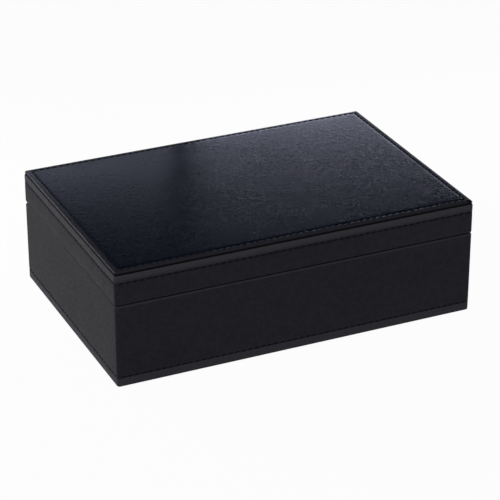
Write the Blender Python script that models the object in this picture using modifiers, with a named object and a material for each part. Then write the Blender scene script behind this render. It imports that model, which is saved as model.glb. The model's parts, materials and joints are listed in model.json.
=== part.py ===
"""A leather-covered jewellery box with a hinged lid and a lift-out tray.

The box stands on the plane z = 0 with its front at -Y and its length along X.
All sizes are in metres. The lid turns about the hinge pins, and the tray lifts
straight up. Pieces that touch in the real box keep the gap named SEAT.
"""

import math

import bmesh
import bpy
from mathutils import Vector

# Outer form
BOX_LENGTH = 0.260
BOX_WIDTH = 0.174
BASE_HEIGHT = 0.0588
LID_HEIGHT = 0.0217
PARTING_GAP = 0.0008
CORNER_RADIUS = 0.0022
EDGE_RADIUS = 0.0008

# Stock that the box is made of
WALL_BOARD = 0.0080
FLOOR_BOARD = 0.0050
LID_BOARD = 0.0050
LEATHER = 0.0010
LINING = 0.0015
FLOOR_LINING = 0.0015
SEAT = 0.0003
OVERRUN = 0.0010

# Leather turned in under the box, and over the lid below the top panel
BASE_TURN_IN = 0.0047
LID_TURN_IN = 0.0120
WRAP_LIFT = 0.0002
BOTTOM_COVER = 0.0008

# Top panel: a stiff core under stitched leather
PANEL_MARGIN = 0.0004
PANEL_CORE = 0.0007
PANEL_LEATHER = 0.0008

# Stitch rows: thread laid in a shallow groove
THREAD_WIDTH = 0.0006
THREAD_DEPTH = 0.0003
BASE_STITCH_HEIGHT = 0.0068
LID_STITCH_DROP = 0.0067
TOP_STITCH_INSET = 0.0046

# Hinges, each set in by the same distance from its end of the box to its middle
HINGE_SET_IN = 0.0550
HINGE_LENGTH = 0.0380
LEAF_THICKNESS = 0.0008
LEAF_MARGIN = 0.0013
KNUCKLE_PROUD = 0.0001
KNUCKLE_SHARES = (0.32, 0.36, 0.32)
PIN_RADIUS = 0.0006
PIN_HEAD_RADIUS = 0.0011
PIN_HEAD_LENGTH = 0.0004
PIN_BACKSET = 0.0001
SCREW_HEAD_RADIUS = 0.0013
SCREW_SHANK_RADIUS = 0.0007
SCREW_LENGTH = 0.0060
SCREW_SPACING = 0.0230
SCREWS_PER_LEAF = 2
LID_STOP_ANGLE = math.radians(100)
REAR_BEVEL_DEPTH = 0.0060

# Lower compartments
DIVIDER = 0.0025
LOWER_DIVIDER_HEIGHT = 0.0221
LOWER_COLUMNS = 3
LEDGE_WIDTH = 0.0040
LEDGE_HEIGHT = 0.0030

# Lift-out tray
TRAY_CLEARANCE = 0.0008
TRAY_HEIGHT = 0.0240
TRAY_WALL = 0.0030
TRAY_FLOOR = 0.0020
TRAY_DIVIDER_HEIGHT = 0.0185
RING_SECTION = 0.0820
SIDE_SECTION = 0.0640
MIDDLE_SPLIT_SHARE = 0.60
SIDE_SPLIT_SHARE = 0.42
RING_ROLLS = 5
RING_ROLL_HEIGHT = 0.0152
RING_ROLL_SLIT = 0.0008
RING_ROLL_ROUNDING = 0.0050
PULL_WIDTH = 0.0120
PULL_THICKNESS = 0.0010
PULL_LENGTH = 0.0180
PULL_STANDS_PROUD = 0.0050
PULL_ROUNDING_SHARE = 1 / 3

# Lid lining and mirror
LID_CEILING = 0.0012
MIRROR_THICKNESS = 0.0020
MIRROR_MARGIN = 0.0100
FRAME_WIDTH = 0.0070
FRAME_LIP = 0.0020
FRAME_LIP_THICKNESS = 0.0007

# Softened edges of lined pieces
SOFT_EDGE = 0.0004

# Smoothness of round shapes
CORNER_STEPS = 4
EDGE_STEPS = 2
SOFT_STEPS = 2
ROLL_STEPS = 4
TURNED_STEPS = 16
SMOOTH_ANGLE = math.radians(40)
MERGE_DISTANCE = SEAT / 10

# Heights worked out from the sizes above
BASE_BOARD_LOW = WRAP_LIFT + LEATHER + SEAT
BASE_BOARD_HIGH = BASE_BOARD_LOW + FLOOR_BOARD
WALL_LOW = BASE_BOARD_HIGH + SEAT
WALL_HIGH = BASE_HEIGHT - LEATHER - SEAT
FLOOR_TOP = WALL_LOW + FLOOR_LINING
COMPARTMENT_LOW = FLOOR_TOP + SEAT
LOWER_TOP = COMPARTMENT_LOW + LOWER_DIVIDER_HEIGHT
TRAY_LOW = LOWER_TOP + SEAT
TRAY_TOP = TRAY_LOW + TRAY_HEIGHT
TRAY_INSIDE = TRAY_LOW + TRAY_FLOOR + SEAT
LID_LOW = BASE_HEIGHT + PARTING_GAP
LID_TOP = LID_LOW + LID_HEIGHT
LID_BOARD_HIGH = LID_TOP - LEATHER - SEAT
LID_BOARD_LOW = LID_BOARD_HIGH - LID_BOARD
RAIL_LOW = LID_LOW + LEATHER + SEAT
RAIL_HIGH = LID_BOARD_LOW - SEAT
CEILING_LOW = RAIL_HIGH - LID_CEILING
MIRROR_HIGH = CEILING_LOW - SEAT
MIRROR_LOW = MIRROR_HIGH - MIRROR_THICKNESS
FRAME_LOW = MIRROR_LOW - SEAT - FRAME_LIP_THICKNESS
PANEL_LOW = LID_TOP + SEAT
CORE_TOP = PANEL_LOW + PANEL_CORE
PANEL_TOP = CORE_TOP + SEAT + PANEL_LEATHER
LID_STITCH_HEIGHT = LID_TOP - LID_STITCH_DROP
STITCH_GROOVE_DEPTH = THREAD_DEPTH + SEAT

# Distances inwards from the outer faces of the box
BOARD_INSET = LEATHER + SEAT
RIM_WIDTH = BOARD_INSET + WALL_BOARD
LINING_INSET = RIM_WIDTH + SEAT
INSIDE_INSET = LINING_INSET + LINING
TRAY_INSET = INSIDE_INSET + TRAY_CLEARANCE
TRAY_INSIDE_INSET = TRAY_INSET + TRAY_WALL
FRAME_INSET = INSIDE_INSET + MIRROR_MARGIN

# The lower compartments are equally wide: one column is a compartment and a divider
COLUMN_PITCH = (BOX_LENGTH - 2 * INSIDE_INSET + DIVIDER) / LOWER_COLUMNS

# Hinge places: the pins run in the gap between lid and base, close to the back
HALF_LENGTH = BOX_LENGTH / 2
HALF_WIDTH = BOX_WIDTH / 2
PIN_HEIGHT = BASE_HEIGHT + PARTING_GAP / 2
LEAF_FAR = PARTING_GAP / 2 + LEATHER
LEAF_NEAR = LEAF_FAR - LEAF_THICKNESS
KNUCKLE_RADIUS = LEAF_FAR + KNUCKLE_PROUD
KNUCKLE_BORE = PIN_RADIUS + SEAT
PIN_INSET = KNUCKLE_RADIUS + PIN_BACKSET
PIN_Y = HALF_WIDTH - PIN_INSET
LEAF_BACK = PIN_Y - KNUCKLE_RADIUS - SEAT
LEAF_FRONT = HALF_WIDTH - RIM_WIDTH + LEAF_MARGIN
SCREW_Y = (LEAF_BACK + LEAF_FRONT) / 2

# The rear edges of lid and base are bevelled, and meet when the lid is open
REAR_HALF_OPENING = PIN_INSET * math.tan(LID_STOP_ANGLE / 2)
REAR_BEVEL_DROP = REAR_HALF_OPENING - PARTING_GAP / 2
MORTISE_DROP = REAR_HALF_OPENING + KNUCKLE_PROUD

# The sides whose boards are plain: the back one is bevelled for the hinges
PLAIN_SIDES = ("front", "left", "right")

# Finishes: colour, roughness, metallic
BLACK_LEATHER = ((0.012, 0.012, 0.015), 0.42, 0.0)
BLACK_THREAD = ((0.010, 0.010, 0.012), 0.60, 0.0)
GREY_SUEDE = ((0.200, 0.185, 0.175), 0.95, 0.0)
FIBRE_BOARD = ((0.400, 0.270, 0.160), 0.80, 0.0)
GREY_CARD = ((0.300, 0.290, 0.270), 0.85, 0.0)
BRASS = ((0.800, 0.600, 0.300), 0.30, 1.0)
SILVERED_GLASS = ((0.900, 0.910, 0.910), 0.03, 1.0)


def clear_scene():
    for obj in list(bpy.data.objects):
        bpy.data.objects.remove(obj, do_unlink=True)


def new_collection(name):
    collection = bpy.data.collections.new(name)
    bpy.context.scene.collection.children.link(collection)
    return collection


def add_object(name, mesh, place, collection):
    obj = bpy.data.objects.new(name, mesh)
    obj.location = place
    collection.objects.link(obj)
    return obj


def make_cutter(obj):
    obj.hide_render = True
    obj.display_type = "WIRE"
    return obj


def give_finish(obj, finish):
    colour, roughness, metallic = finish
    material = bpy.data.materials.new(obj.name)
    material.use_nodes = True
    shader = material.node_tree.nodes["Principled BSDF"]
    shader.inputs["Base Color"].default_value = (*colour, 1.0)
    shader.inputs["Roughness"].default_value = roughness
    shader.inputs["Metallic"].default_value = metallic
    obj.data.materials.clear()
    obj.data.materials.append(material)


def carry(obj, axis):
    """Hangs a piece on the empty that stands on its joint's axis."""
    obj.parent = axis
    obj.matrix_parent_inverse = axis.matrix_world.inverted()


def joint_axis(name, place):
    empty = bpy.data.objects.new(name, None)
    empty.empty_display_type = "ARROWS"
    empty.location = place
    parts.objects.link(empty)
    bpy.context.view_layer.update()
    return empty


def finish_piece(obj, finish, axis=None):
    give_finish(obj, finish)
    if axis:
        carry(obj, axis)
    return obj


def box_mesh(name, size):
    """A box of this size about the origin, and its bmesh for further shaping."""
    mesh = bpy.data.meshes.new(name)
    shape = bmesh.new()
    bmesh.ops.create_cube(shape, size=1)
    bmesh.ops.scale(shape, vec=size, verts=shape.verts)
    return mesh, shape


def block(name, low, high, collection=None):
    """A plain box between two corners, with its origin in its middle."""
    low = Vector(low)
    high = Vector(high)
    mesh, shape = box_mesh(name, high - low)
    shape.to_mesh(mesh)
    shape.free()
    return add_object(name, mesh, (low + high) / 2, collection or parts)


def cutter_block(name, low, high):
    return make_cutter(block(name, low, high, cutters))


def plan_block(name, inset, low, high, collection=None):
    """A box that keeps one distance from all four outer faces of the jewellery box."""
    half_x = HALF_LENGTH - inset
    half_y = HALF_WIDTH - inset
    return block(name, (-half_x, -half_y, low), (half_x, half_y, high), collection)


def soften(obj, radius, steps=SOFT_STEPS):
    """Rounds the edges of a piece."""
    bevel = obj.modifiers.new("soft edges", "BEVEL")
    bevel.width = radius
    bevel.segments = steps
    bevel.limit_method = "ANGLE"
    bevel.angle_limit = SMOOTH_ANGLE
    obj.data.shade_smooth()
    obj.data.set_sharp_from_angle(angle=SMOOTH_ANGLE)


def boolean(obj, other, operation):
    step = obj.modifiers.new(f"{operation.lower()} {other.name}", "BOOLEAN")
    step.operation = operation
    step.object = other
    step.solver = "EXACT"


def cut(obj, *others):
    for other in others:
        boolean(obj, other, "DIFFERENCE")


def join(obj, *others):
    for other in others:
        boolean(obj, other, "UNION")


def rear_plane(inset, lid):
    """A point and the outward normal of the rear bevel, moved in by an inset."""
    up = -1 if lid else 1
    rim = LID_LOW if lid else BASE_HEIGHT
    normal = Vector((0, REAR_BEVEL_DROP, up * REAR_BEVEL_DEPTH)).normalized()
    corner = Vector((0, HALF_WIDTH, rim - up * REAR_BEVEL_DROP))
    return corner - normal * inset, normal


def bevel_rear(shape, centre, inset, lid):
    """Slices the rear bevel off a bmesh that sits about a centre."""
    point, normal = rear_plane(inset, lid)
    geometry = shape.verts[:] + shape.edges[:] + shape.faces[:]
    sliced = bmesh.ops.bisect_plane(
        shape, geom=geometry, plane_co=point - Vector(centre), plane_no=normal, clear_outer=True
    )
    rim = [item for item in sliced["geom_cut"] if isinstance(item, bmesh.types.BMEdge)]
    bmesh.ops.contextual_create(shape, geom=rim)


def upright(edge):
    run = edge.verts[1].co - edge.verts[0].co
    return abs(run.z) > max(abs(run.x), abs(run.y))


def round_edges(shape, edges, radius, steps):
    bmesh.ops.bevel(
        shape, geom=edges, offset=radius, offset_type="OFFSET", segments=steps, profile=0.5, affect="EDGES"
    )


def rounded_block(name, inset, low, high, lid=None, top_only=False):
    """A box in plan with round corners and edges, and with the rear bevel if it is part of a rim."""
    centre = Vector((0, 0, (low + high) / 2))
    size = Vector((BOX_LENGTH - 2 * inset, BOX_WIDTH - 2 * inset, high - low))
    mesh, shape = box_mesh(name, size)
    round_edges(shape, [edge for edge in shape.edges if upright(edge)], CORNER_RADIUS, CORNER_STEPS)
    if lid is not None:
        bevel_rear(shape, centre, inset, lid)
    sharp = [
        edge
        for edge in shape.edges
        if edge.calc_face_angle() > SMOOTH_ANGLE
        and not (top_only and edge.verts[0].co.z < 0)
    ]
    round_edges(shape, sharp, EDGE_RADIUS, EDGE_STEPS)
    bmesh.ops.recalc_face_normals(shape, faces=shape.faces)
    shape.to_mesh(mesh)
    shape.free()
    mesh.shade_smooth()
    mesh.set_sharp_from_angle(angle=SMOOTH_ANGLE)
    return add_object(name, mesh, centre, parts)


def cavity(name, inset, low, high, lid):
    """The room for the boards inside a wrap, which follows the rear bevel."""
    centre = Vector((0, 0, (low + high) / 2))
    size = Vector((BOX_LENGTH - 2 * inset, BOX_WIDTH - 2 * inset, high - low))
    mesh, shape = box_mesh(name, size)
    bevel_rear(shape, centre, inset, lid)
    bmesh.ops.recalc_face_normals(shape, faces=shape.faces)
    shape.to_mesh(mesh)
    shape.free()
    return make_cutter(add_object(name, mesh, centre, cutters))


def rounded_outline(inset, radius):
    """Points round a rectangle with round corners, anticlockwise from the right-hand side."""
    half_x = HALF_LENGTH - inset
    half_y = HALF_WIDTH - inset
    points = []
    for corner, (side_x, side_y) in enumerate(((1, 1), (-1, 1), (-1, -1), (1, -1))):
        middle_x = side_x * (half_x - radius)
        middle_y = side_y * (half_y - radius)
        for step in range(CORNER_STEPS + 1):
            angle = math.pi / 2 * (corner + step / CORNER_STEPS)
            points.append((middle_x + radius * math.cos(angle), middle_y + radius * math.sin(angle)))
    return points


def ring(name, outer, inner, low, high, collection=None):
    """A flat ring round the box between two outlines, cut from a filled 2D curve."""
    curve = bpy.data.curves.new(name, "CURVE")
    curve.dimensions = "2D"
    curve.fill_mode = "BOTH"
    curve.extrude = (high - low) / 2
    for outline in (outer, inner):
        spline = curve.splines.new("POLY")
        spline.points.add(len(outline) - 1)
        for point, (x, y) in zip(spline.points, outline):
            point.co = (x, y, 0, 1)
        spline.use_cyclic_u = True
    guide = add_object(name + "_outline", curve, (0, 0, (low + high) / 2), cutters)
    bpy.context.view_layer.update()
    solid = guide.evaluated_get(bpy.context.evaluated_depsgraph_get())
    mesh = bpy.data.meshes.new_from_object(solid)
    bpy.data.objects.remove(guide)
    shape = bmesh.new()
    shape.from_mesh(mesh)
    bmesh.ops.remove_doubles(shape, verts=shape.verts, dist=MERGE_DISTANCE)
    bmesh.ops.recalc_face_normals(shape, faces=shape.faces)
    shape.to_mesh(mesh)
    shape.free()
    mesh.name = name
    return add_object(name, mesh, (0, 0, (low + high) / 2), collection or parts)


def side_groove(name, height):
    """The groove that a stitch row lies in, all round the sides of a wrap."""
    reach = THREAD_WIDTH / 2 + SEAT
    outer = rounded_outline(-OVERRUN, CORNER_RADIUS + OVERRUN)
    inner = rounded_outline(STITCH_GROOVE_DEPTH, CORNER_RADIUS - STITCH_GROOVE_DEPTH)
    return make_cutter(ring(name, outer, inner, height - reach, height + reach, cutters))


def side_thread(name, height):
    outer = rounded_outline(0, CORNER_RADIUS)
    inner = rounded_outline(THREAD_DEPTH, CORNER_RADIUS - THREAD_DEPTH)
    return ring(name, outer, inner, height - THREAD_WIDTH / 2, height + THREAD_WIDTH / 2)


def surround(names, sides, inset, thickness, low, high, finish, axis=None, edge=0):
    """Upright boards or panels: front and back run full length, and left and right fit between them."""
    half_x = HALF_LENGTH - inset
    half_y = HALF_WIDTH - inset
    side_y = half_y - thickness - SEAT
    corners = {
        "front": ((-half_x, -half_y), (half_x, -half_y + thickness)),
        "back": ((-half_x, half_y - thickness), (half_x, half_y)),
        "left": ((-half_x, -side_y), (-half_x + thickness, side_y)),
        "right": ((half_x - thickness, -side_y), (half_x, side_y)),
    }
    for side in sides:
        near, far = corners[side]
        piece = block(names.format(side), (*near, low), (*far, high))
        if edge:
            soften(piece, edge)
        finish_piece(piece, finish, axis)


def bevelled_back_board(name, low, high, lid, finish, axis=None):
    """The back board of a rim, bevelled under the leather like the wrap above it."""
    half_x = HALF_LENGTH - BOARD_INSET
    back = HALF_WIDTH - BOARD_INSET
    centre = Vector((0, back - WALL_BOARD / 2, (low + high) / 2))
    mesh, shape = box_mesh(name, Vector((2 * half_x, WALL_BOARD, high - low)))
    bevel_rear(shape, centre, BOARD_INSET, lid)
    bmesh.ops.recalc_face_normals(shape, faces=shape.faces)
    shape.to_mesh(mesh)
    shape.free()
    return finish_piece(add_object(name, mesh, centre, parts), finish, axis)


def hinge_places():
    reach = HALF_LENGTH - HINGE_SET_IN
    return (("left", -reach), ("right", reach))


def screw_offsets():
    middle = (SCREWS_PER_LEAF - 1) / 2
    return [SCREW_SPACING * (index - middle) for index in range(SCREWS_PER_LEAF)]


def mortises(lid):
    """The windows in a wrap's rear rim that let the hinge leaves and knuckles in."""
    half = HINGE_LENGTH / 2 + PIN_HEAD_LENGTH + 2 * SEAT
    low = PIN_HEIGHT - PARTING_GAP if lid else PIN_HEIGHT - MORTISE_DROP
    high = PIN_HEIGHT + MORTISE_DROP if lid else PIN_HEIGHT + PARTING_GAP
    rim = "lid" if lid else "base"
    return [
        cutter_block(
            f"{rim}_{side}_mortise",
            (middle - half, LEAF_FRONT - SEAT, low),
            (middle + half, HALF_WIDTH + OVERRUN, high),
        )
        for side, middle in hinge_places()
    ]


def turned(shape, profile, place, axis_x=False, flip=False):
    """Adds a turned solid to a bmesh: its profile is radius and height, from the axis round to the axis."""
    turn = -1 if flip else 1
    others = set(shape.verts)
    verts = [shape.verts.new((radius, 0, turn * height)) for radius, height in profile]
    edges = [shape.edges.new(pair) for pair in zip(verts, verts[1:])]
    bmesh.ops.spin(
        shape,
        geom=verts + edges,
        cent=(0, 0, 0),
        axis=(0, 0, 1),
        angle=2 * math.pi,
        steps=TURNED_STEPS,
        use_merge=True,
    )
    made = [vert for vert in shape.verts if vert not in others]
    if axis_x:
        for vert in made:
            vert.co = Vector((vert.co.z, vert.co.y, -vert.co.x))
    bmesh.ops.translate(shape, vec=place, verts=made)


def turned_object(name, solids, collection):
    """One object made of turned solids, given as profile, place, axis_x and flip."""
    shape = bmesh.new()
    for profile, place, axis_x, flip in solids:
        turned(shape, profile, place, axis_x, flip)
    bmesh.ops.remove_doubles(shape, verts=shape.verts, dist=MERGE_DISTANCE)
    bmesh.ops.recalc_face_normals(shape, faces=shape.faces)
    mesh = bpy.data.meshes.new(name)
    shape.to_mesh(mesh)
    shape.free()
    mesh.shade_smooth()
    mesh.set_sharp_from_angle(angle=SMOOTH_ANGLE)
    return add_object(name, mesh, (0, 0, 0), collection)


def rod_profile(radius, half_length):
    return [(0, half_length), (radius, half_length), (radius, -half_length), (0, -half_length)]


def screw_profile():
    """A countersunk head as deep as the leaf, a plain shank and a point as long as the head's radius."""
    return [
        (0, 0),
        (SCREW_HEAD_RADIUS, 0),
        (SCREW_SHANK_RADIUS, -LEAF_THICKNESS),
        (SCREW_SHANK_RADIUS, SCREW_HEAD_RADIUS - SCREW_LENGTH),
        (0, -SCREW_LENGTH),
    ]


def countersink_profile():
    """The hole in a leaf: the head's cone, kept one seat away from it, and past both faces."""
    top = SCREW_HEAD_RADIUS + SEAT
    slope = (SCREW_HEAD_RADIUS - SCREW_SHANK_RADIUS) / LEAF_THICKNESS
    rise = OVERRUN * slope
    foot = SCREW_SHANK_RADIUS + SEAT
    return [
        (0, OVERRUN),
        (top + rise, OVERRUN),
        (foot, -LEAF_THICKNESS),
        (foot, -LEAF_THICKNESS - OVERRUN),
        (0, -LEAF_THICKNESS - OVERRUN),
    ]


def pilot_profile():
    radius = SCREW_SHANK_RADIUS + SEAT
    return [(0, OVERRUN), (radius, OVERRUN), (radius, -SCREW_LENGTH - SEAT), (0, -SCREW_LENGTH - SEAT)]


def screw_solids(profile, lid, middle):
    """One turned solid for each screw of a leaf, with its head at the leaf's open face."""
    height = PIN_HEIGHT + LEAF_NEAR if lid else PIN_HEIGHT - LEAF_NEAR
    return [(profile, (middle + offset, SCREW_Y, height), False, lid) for offset in screw_offsets()]


def screw_pilots(lid):
    """The holes that the hinge screws bite into, for the back board of a rim."""
    solids = [solid for _, middle in hinge_places() for solid in screw_solids(pilot_profile(), lid, middle)]
    name = "lid_screw_pilots" if lid else "base_screw_pilots"
    return make_cutter(turned_object(name, solids, cutters))


def knuckle_spans(middle, lid):
    """Start and end along X of the knuckles that this leaf owns, with a seat between neighbours."""
    spans = []
    start = middle - HINGE_LENGTH / 2
    last = len(KNUCKLE_SHARES) - 1
    for index, share in enumerate(KNUCKLE_SHARES):
        end = start + HINGE_LENGTH * share
        gap_before = SEAT / 2 if index > 0 else 0
        gap_after = SEAT / 2 if index < last else 0
        if (index % 2 == 1) == lid:
            spans.append((start + gap_before, end - gap_after))
        start = end
    return spans


def hinge_leaf(side, middle, lid, axis=None):
    """A flat plate with rolled knuckles, bored for the pin and countersunk for its screws."""
    owner = "lid" if lid else "base"
    name = f"hinge_{side}_{owner}_leaf"
    low = PIN_HEIGHT + LEAF_NEAR if lid else PIN_HEIGHT - LEAF_FAR
    high = PIN_HEIGHT + LEAF_FAR if lid else PIN_HEIGHT - LEAF_NEAR
    half = HINGE_LENGTH / 2
    leaf = block(name, (middle - half, LEAF_FRONT, low), (middle + half, LEAF_BACK, high))
    for index, (start, end) in enumerate(knuckle_spans(middle, lid)):
        tab = cutter_block(
            f"{name}_tab_{index}", (start, (LEAF_FRONT + LEAF_BACK) / 2, low), (end, PIN_Y, high)
        )
        place = ((start + end) / 2, PIN_Y, PIN_HEIGHT)
        rod = [(rod_profile(KNUCKLE_RADIUS, (end - start) / 2), place, True, False)]
        knuckle = make_cutter(turned_object(f"{name}_knuckle_{index}", rod, cutters))
        join(leaf, tab, knuckle)
    bore_rod = [(rod_profile(KNUCKLE_BORE, half + OVERRUN), (middle, PIN_Y, PIN_HEIGHT), True, False)]
    bore = make_cutter(turned_object(name + "_bore", bore_rod, cutters))
    holes = screw_solids(countersink_profile(), lid, middle)
    cut(leaf, bore, make_cutter(turned_object(name + "_holes", holes, cutters)))
    return finish_piece(leaf, BRASS, axis)


def hinge_pin(side, middle):
    """The pin, with a flat head past each end of the knuckles."""
    inner = HINGE_LENGTH / 2 + SEAT
    outer = inner + PIN_HEAD_LENGTH
    profile = [
        (0, outer),
        (PIN_HEAD_RADIUS, outer),
        (PIN_HEAD_RADIUS, inner),
        (PIN_RADIUS, inner),
        (PIN_RADIUS, -inner),
        (PIN_HEAD_RADIUS, -inner),
        (PIN_HEAD_RADIUS, -outer),
        (0, -outer),
    ]
    solid = [(profile, (middle, PIN_Y, PIN_HEIGHT), True, False)]
    return finish_piece(turned_object(f"hinge_{side}_pin", solid, parts), BRASS)


def build_base_shell():
    """Bottom sheet, leather wrap with its stitch row, and the five boards inside it."""
    finish_piece(plan_block("bottom_cover", BASE_TURN_IN + SEAT, 0, BOTTOM_COVER), GREY_SUEDE)
    wrap = rounded_block("base_wrap", 0, WRAP_LIFT, BASE_HEIGHT, lid=False)
    room_low = WRAP_LIFT + LEATHER
    room_high = BASE_HEIGHT - LEATHER
    room = cavity("base_wrap_room", LEATHER, room_low, room_high, lid=False)
    mouth = plan_block("base_wrap_mouth", RIM_WIDTH, room_low + OVERRUN, BASE_HEIGHT + OVERRUN, cutters)
    foot = plan_block("base_wrap_foot", BASE_TURN_IN, -OVERRUN, room_low + OVERRUN, cutters)
    groove = side_groove("base_stitch_groove", BASE_STITCH_HEIGHT)
    cut(wrap, room, make_cutter(mouth), make_cutter(foot), groove, *mortises(lid=False))
    finish_piece(wrap, BLACK_LEATHER)
    finish_piece(side_thread("base_stitching", BASE_STITCH_HEIGHT), BLACK_THREAD)
    floor = plan_block("base_bottom_board", BOARD_INSET, BASE_BOARD_LOW, BASE_BOARD_HIGH)
    finish_piece(floor, FIBRE_BOARD)
    surround("base_{}_board", PLAIN_SIDES, BOARD_INSET, WALL_BOARD, WALL_LOW, WALL_HIGH, FIBRE_BOARD)
    back = bevelled_back_board("base_back_board", WALL_LOW, WALL_HIGH, False, FIBRE_BOARD)
    cut(back, screw_pilots(lid=False))


def wall_lining(name, low, high, axis=None):
    """One strip of suede-covered card, folded at the corners to line all four walls."""
    strip = plan_block(name, LINING_INSET, low, high)
    room = plan_block(name + "_room", INSIDE_INSET, low - OVERRUN, high + OVERRUN, cutters)
    cut(strip, make_cutter(room))
    soften(strip, SOFT_EDGE)
    return finish_piece(strip, GREY_SUEDE, axis)


def build_base_lining():
    finish_piece(plan_block("base_floor_lining", LINING_INSET, WALL_LOW, FLOOR_TOP), GREY_SUEDE)
    wall_lining("base_wall_lining", COMPARTMENT_LOW, BASE_HEIGHT - SEAT)


def build_ledges():
    """The strips on the end walls that carry the tray."""
    outer = HALF_LENGTH - INSIDE_INSET - SEAT
    half_y = HALF_WIDTH - INSIDE_INSET - SEAT
    for side, sign in (("left", -1), ("right", 1)):
        xs = sorted((sign * outer, sign * (outer - LEDGE_WIDTH)))
        low = (xs[0], -half_y, LOWER_TOP - LEDGE_HEIGHT)
        ledge = block(f"tray_ledge_{side}", low, (xs[1], half_y, LOWER_TOP))
        soften(ledge, SOFT_EDGE)
        finish_piece(ledge, GREY_SUEDE)


def build_lower_dividers():
    """One long divider and two cross dividers, half-lapped where they cross."""
    half_x = HALF_LENGTH - INSIDE_INSET - SEAT
    half_y = HALF_WIDTH - INSIDE_INSET - SEAT
    half = DIVIDER / 2
    lap = half + SEAT
    lap_height = (COMPARTMENT_LOW + LOWER_TOP) / 2
    over = LOWER_TOP + OVERRUN
    long_divider = block("lower_long_divider", (-half_x, -half, COMPARTMENT_LOW), (half_x, half, LOWER_TOP))
    soften(long_divider, SOFT_EDGE)
    for side, sign in (("left", -1), ("right", 1)):
        middle = sign * COLUMN_PITCH / 2
        low = (middle - half, -half_y, COMPARTMENT_LOW)
        cross = block(f"lower_cross_divider_{side}", low, (middle + half, half_y, LOWER_TOP))
        soften(cross, SOFT_EDGE)
        under = (middle + OVERRUN + half, lap, lap_height + SEAT / 2)
        slot = cutter_block(
            f"cross_slot_{side}", (middle - half - OVERRUN, -lap, COMPARTMENT_LOW - OVERRUN), under
        )
        cut(cross, slot)
        finish_piece(cross, GREY_SUEDE)
        low = (middle - lap, -half - OVERRUN, lap_height - SEAT / 2)
        cut(long_divider, cutter_block(f"long_slot_{side}", low, (middle + lap, half + OVERRUN, over)))
        inner = half_x - LEDGE_WIDTH - SEAT
        xs = sorted((sign * inner, sign * (half_x + OVERRUN)))
        low = (xs[0], -half - OVERRUN, LOWER_TOP - LEDGE_HEIGHT - SEAT)
        cut(long_divider, cutter_block(f"ledge_notch_{side}", low, (xs[1], half + OVERRUN, over)))
    finish_piece(long_divider, GREY_SUEDE)


def build_tray(axis):
    """Walls, floor and dividers of the lift-out tray."""
    sides = (*PLAIN_SIDES, "back")
    surround("tray_{}_wall", sides, TRAY_INSET, TRAY_WALL, TRAY_LOW, TRAY_TOP, GREY_SUEDE, axis, SOFT_EDGE)
    floor = plan_block("tray_floor", TRAY_INSIDE_INSET + SEAT, TRAY_LOW, TRAY_LOW + TRAY_FLOOR)
    finish_piece(floor, GREY_SUEDE, axis)
    half_x = HALF_LENGTH - TRAY_INSIDE_INSET
    half_y = HALF_WIDTH - TRAY_INSIDE_INSET - SEAT
    top = TRAY_INSIDE + TRAY_DIVIDER_HEIGHT
    first = -half_x + RING_SECTION
    second = half_x - SIDE_SECTION - DIVIDER
    middle_y = -half_y + 2 * half_y * MIDDLE_SPLIT_SHARE
    side_y = -half_y + 2 * half_y * SIDE_SPLIT_SHARE
    spans = {
        "tray_ring_divider": ((first, -half_y), (first + DIVIDER, half_y)),
        "tray_side_divider": ((second, -half_y), (second + DIVIDER, half_y)),
        "tray_middle_cross": ((first + DIVIDER + SEAT, middle_y), (second - SEAT, middle_y + DIVIDER)),
        "tray_side_cross": ((second + DIVIDER + SEAT, side_y), (half_x - SEAT, side_y + DIVIDER)),
    }
    for name, (near, far) in spans.items():
        divider = block(name, (*near, TRAY_INSIDE), (*far, top))
        soften(divider, SOFT_EDGE)
        finish_piece(divider, GREY_SUEDE, axis)


def build_ring_rolls(axis):
    """Padded rolls side by side: rings stand in the slits between them."""
    start = -(HALF_LENGTH - TRAY_INSIDE_INSET)
    pitch = (RING_SECTION - RING_ROLL_SLIT) / RING_ROLLS
    half_y = HALF_WIDTH - TRAY_INSIDE_INSET - RING_ROLL_SLIT
    for index in range(RING_ROLLS):
        near = start + RING_ROLL_SLIT + index * pitch
        far = near + pitch - RING_ROLL_SLIT
        low = (near, -half_y, TRAY_INSIDE)
        roll = block(f"ring_roll_{index + 1}", low, (far, half_y, TRAY_INSIDE + RING_ROLL_HEIGHT))
        soften(roll, RING_ROLL_ROUNDING, ROLL_STEPS)
        finish_piece(roll, GREY_SUEDE, axis)


def build_pulls(axis):
    """Ribbon tabs inside the front and back walls of the tray, to lift it by."""
    face = HALF_WIDTH - TRAY_INSIDE_INSET - SEAT
    top = TRAY_TOP + PULL_STANDS_PROUD
    for side, sign in (("front", -1), ("back", 1)):
        ys = sorted((sign * face, sign * (face - PULL_THICKNESS)))
        low = (-PULL_WIDTH / 2, ys[0], top - PULL_LENGTH)
        pull = block(f"tray_pull_{side}", low, (PULL_WIDTH / 2, ys[1], top))
        soften(pull, PULL_THICKNESS * PULL_ROUNDING_SHARE)
        finish_piece(pull, BLACK_THREAD, axis)


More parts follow.
